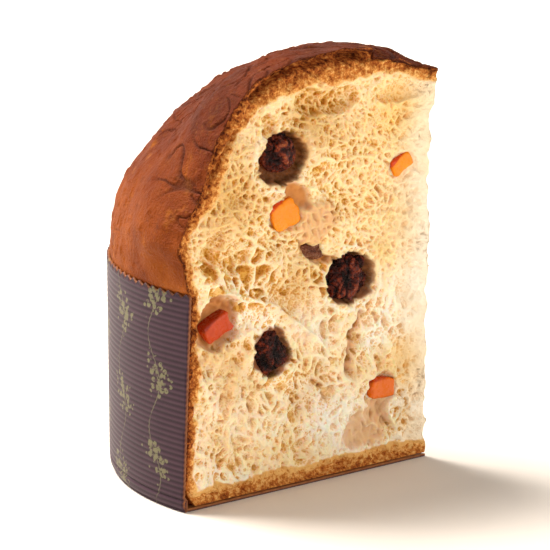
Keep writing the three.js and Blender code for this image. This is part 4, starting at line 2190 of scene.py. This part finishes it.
@dataclass
class PanettoneSlice:
    """The whole slice: loaf, mould, and everything baked into it.

    Attributes:
        whole: The loaf that it was cut from.
    """

    whole: WholeLoaf

    def build(self) -> None:
        """Build every part in order."""
        crumbs = (self._first_crumb(), self._second_crumb())
        for crumb in crumbs:
            crumb.build()
            LOG.info("crumb relief: %d by %d", *crumb.maps["relief"].shape)
        coarse = {}
        Loaf(self.whole, crumbs, **coarse).build()
        MouldWall(self.whole).build()
        MouldBase(self.whole).build()
        self._inclusions()

    def _first_crumb(self) -> Crumb:
        """Describe the long face, with its hollows and tears.

        Returns:
            Its crumb, not yet built.
        """
        return Crumb(
            face=self.whole.first_face(), loaf=self.whole, seed=11,
            hollows=(
                Hollow(37, 110.6, 9.6, 8.8, 7.2, 15, Stain.CHOCOLATE, 0.75),
                Hollow(66, 67.2, 9.8, 8.4, 6.4, -25, Stain.CHOCOLATE, 0.6),
                Hollow(36.2, 46.6, 6.8, 8.0, 5.8, 10, Stain.CHOCOLATE, 0.6),
                Hollow(52.4, 79, 8.4, 4.6, 4.2, -28, Stain.AMBER, 0.7),
                Hollow(51.4, 87.4, 8.6, 7.6, -1.2, 20, Stain.TAN, 0.15),
                Hollow(57.6, 80.4, 4.8, 4.6, -0.8, 0, Stain.NONE, 0.1),
                Hollow(39.4, 92.6, 6.6, 6.4, 4.6, 0, Stain.NONE, 0.8),
                Hollow(43.4, 97.6, 6.2, 4.2, 4.4, -35, Stain.AMBER, 0.9),
                Hollow(86, 102.6, 5.8, 4.2, 3.4, 10, Stain.NONE, 0.8),
                Hollow(13.6, 60.4, 8.4, 9.6, 6.4, -15, Stain.AMBER, 0.95),
                Hollow(82, 26.8, 6.6, 5.4, 5, 0, Stain.NONE, 0.7),
                Hollow(75, 14.4, 9.6, 7.4, 3.4, 10, Stain.TAN, 0.7, 1.2),
                Hollow(81, 19, 8, 6.4, 4.0, -20, Stain.TAN, 0.6, 1.2),
                Hollow(87.6, 18.4, 4.2, 5.6, -2.6, 10, Stain.NONE, 0.1),
                Hollow(85, 127.4, 11, 3.6, 5, 6, Stain.NONE, 0.7),
                Hollow(47.5, 127.5, 6.4, 4.6, 5, -20),
                Hollow(59, 127, 8, 4.2, 5, 15),
                Hollow(31.6, 121.4, 3.4, 4.6, 5, 20),
                Hollow(11, 83, 4.6, 7.4, 5, -25, Stain.NONE, 0.4),
                Hollow(20.5, 80.4, 5.2, 5.4, 5, 0, Stain.NONE, 0.4),
            ),
            tears=(
                Tear(((3, 84.7), (14.6, 71.3), (37, 62.8), (59, 45)), 2.2, -1.4, 2.0),
                # The amber along these crevices is painted shade; along the top one it is the painted shadow
                # line under the crust's lifted lip.
                Tear(((73.2, 55.6), (68.6, 46.2), (67.4, 32.7)), 1.6, 3.2, 0, Stain.AMBER),
                Tear(((23, 130), (36, 138), (54, 140.6), (71, 140)), 0.9, 5.5, 0, Stain.AMBER),
                Tear(((8.6, 106), (13, 114), (20, 123)), 0.6, 3, 0, Stain.AMBER),
            ),
            regions=(
                CrumbRegion(22, 77, 13, large=1.3), CrumbRegion(75, 112, 22, large=-0.6, yellow=0.5),
                CrumbRegion(56, 68, 9, large=0.8), CrumbRegion(84, 86, 9, yellow=0.8, pale=0.3),
                CrumbRegion(79, 74, 8, yellow=0.7), CrumbRegion(88, 36, 8, yellow=0.7),
                CrumbRegion(48, 47, 7, yellow=0.5), CrumbRegion(84, 122, 9, yellow=0.8),
                CrumbRegion(64, 22, 13, white=0.6, pale=0.45), CrumbRegion(81, 46, 9, white=0.7, pale=0.3),
                CrumbRegion(28, 62, 15, white=0.6), CrumbRegion(52, 51, 8, white=0.6, pale=0.95),
                CrumbRegion(70, 9, 11, white=0.5, pale=0.4), CrumbRegion(26, 25, 12, pale=0.45),
                CrumbRegion(93, 58, 15, large=-0.5, pale=0.7), CrumbRegion(93, 90, 13, large=-0.5, pale=0.7),
                CrumbRegion(80, 78, 9, pale=0.35), CrumbRegion(97, 112, 11, pale=0.5),
                CrumbRegion(16, 100, 17, honey=0.95), CrumbRegion(48, 121, 13, honey=0.8),
                CrumbRegion(44, 70, 11, honey=0.8), CrumbRegion(14, 44, 13, honey=0.9),
                CrumbRegion(50, 31, 9, honey=0.5), CrumbRegion(10, 18, 9, honey=0.5),
            ),
        )

    def _second_crumb(self) -> Crumb:
        """Describe the shorter face.

        Returns:
            Its crumb, not yet built.
        """
        return Crumb(
            face=self.whole.second_face(), loaf=self.whole, seed=47,
            hollows=(
                Hollow(30.4, 96.4, 9.6, 8.2, 6.6, 10, Stain.CHOCOLATE, 0.7),
                Hollow(66, 54, 8.2, 9.4, 5.8, -20, Stain.CHOCOLATE, 0.6),
                Hollow(24.2, 40.2, 9.4, 8.4, 6.4, 20, Stain.CHOCOLATE, 0.6),
                Hollow(58, 104.4, 7.4, 6.8, 4.6, 0, Stain.AMBER, 0.8),
                Hollow(44, 70.4, 8, 6.6, 5, -30, Stain.AMBER, 0.8),
                Hollow(72, 26.2, 7.2, 7, 4.6, 30, Stain.NONE, 0.8),
                Hollow(46, 118, 9, 4, 5, -15),
                Hollow(20, 66, 5, 8, 5, 10),
            ),
            tears=(
                Tear(((12, 84), (34, 70), (52, 48), (70, 42)), 2.2, -1.3, 1.8),
                # The amber along this crevice is painted shade.
                Tear(((50, 34), (46, 22), (52, 12)), 1.5, 3, 0, Stain.AMBER),
            ),
            regions=(
                CrumbRegion(56, 84, 12, large=1.2), CrumbRegion(24, 112, 20, large=-0.5, yellow=0.5),
                CrumbRegion(36, 56, 9, yellow=0.6), CrumbRegion(60, 20, 14, white=0.6, pale=0.4),
                CrumbRegion(40, 88, 10, white=0.4), CrumbRegion(12, 70, 22, pale=0.6),
                CrumbRegion(46, 108, 9, pale=0.4),
            ),
            torn_below=58,
        )

    def _inclusions(self) -> None:
        """Set the chocolate and the candied orange in their hollows."""
        first, second = self.whole.first_face(), self.whole.second_face()
        chocolate = ChocolateFinish().build()
        # The fourth chunk is a dark brown smear under the tan mound: partly chocolate, partly the painted
        # shadow under the mound.
        smear_and_shadow = ChocolateFinish("chocolate_smear_and_shadow", ("4c2416", "6c3a26", "8c5940", "b5865f")).build()
        for number, row in enumerate((
            (first, 38.2, 112.4, 4.9, (12.5, 11, 12), 0.4),
            (first, 67, 67.2, 5.7, (19, 13, 16), 1.1),
            (first, 36.8, 46.5, 4.4, (14.6, 10, 12.5), 2.0),
            (first, 52, 78.8, 3.4, (11, 8, 7), 2.9, 2.6),
            (second, 30, 96, 4.9, (14, 11, 12), 0.8),
            (second, 66, 54, 4.4, (12, 10, 14), 1.7),
            (second, 24, 40, 5.3, (15, 12, 12), 2.4),
        ), 1):
            # The fourth chunk takes the smear finish, which also paints the shadow under the mound.
            finish = smear_and_shadow if number == 4 else chocolate
            setting = Setting(f"chocolate_chunk_{number}", *row)
            ChocolateChunk(setting, self.whole, 60 + 3 * number).build(finish)
        bright = CandiedOrangeFinish("ea8c12", "c8400c").build("candied_orange_bright")
        red = CandiedOrangeFinish("b83e0c", "8f2406", 0.3).build("candied_orange_red")
        middle = CandiedOrangeFinish("dc6a12", "b8400a", 0.4).build("candied_orange_middle")
        for number, row in enumerate((
            (bright, first, 39.4, 92.4, 3.9, (11.5, 9, 10.5), 0.3),
            (bright, first, 86.4, 102.8, 2.6, (9, 6.5, 6), 0.45),
            (red, first, 14.6, 58.6, 4.2, (11.5, 9, 7.5), 0.4),
            (middle, first, 82.6, 26.8, 3.9, (11, 9, 8), -0.15),
            (bright, second, 58, 104, 3.9, (11, 9, 10), 0.3),
            (middle, second, 44, 70, 4.3, (12, 10, 9), -0.5),
            (bright, second, 72, 26, 3.9, (10, 9, 10), 0.7),
        ), 1):
            setting = Setting(f"orange_cube_{number}", *row[1:])
            OrangeCube(setting, self.whole, 90 + 5 * number).build(row[0])


def main() -> None:
    """Build the slice and the studio."""
    logging.basicConfig(level=logging.INFO, format="%(name)s: %(message)s")
    whole = WholeLoaf.from_frame()
    Studio(
        middle=(0.0114, -0.0122, 0.063),
        eye=tuple(whole.to_row() @ Vector((-575, -722.4, 293.4))),
    ).build()
    PanettoneSlice(whole).build()
    bpy.context.view_layer.update()


if __name__ == "__main__":
    main()
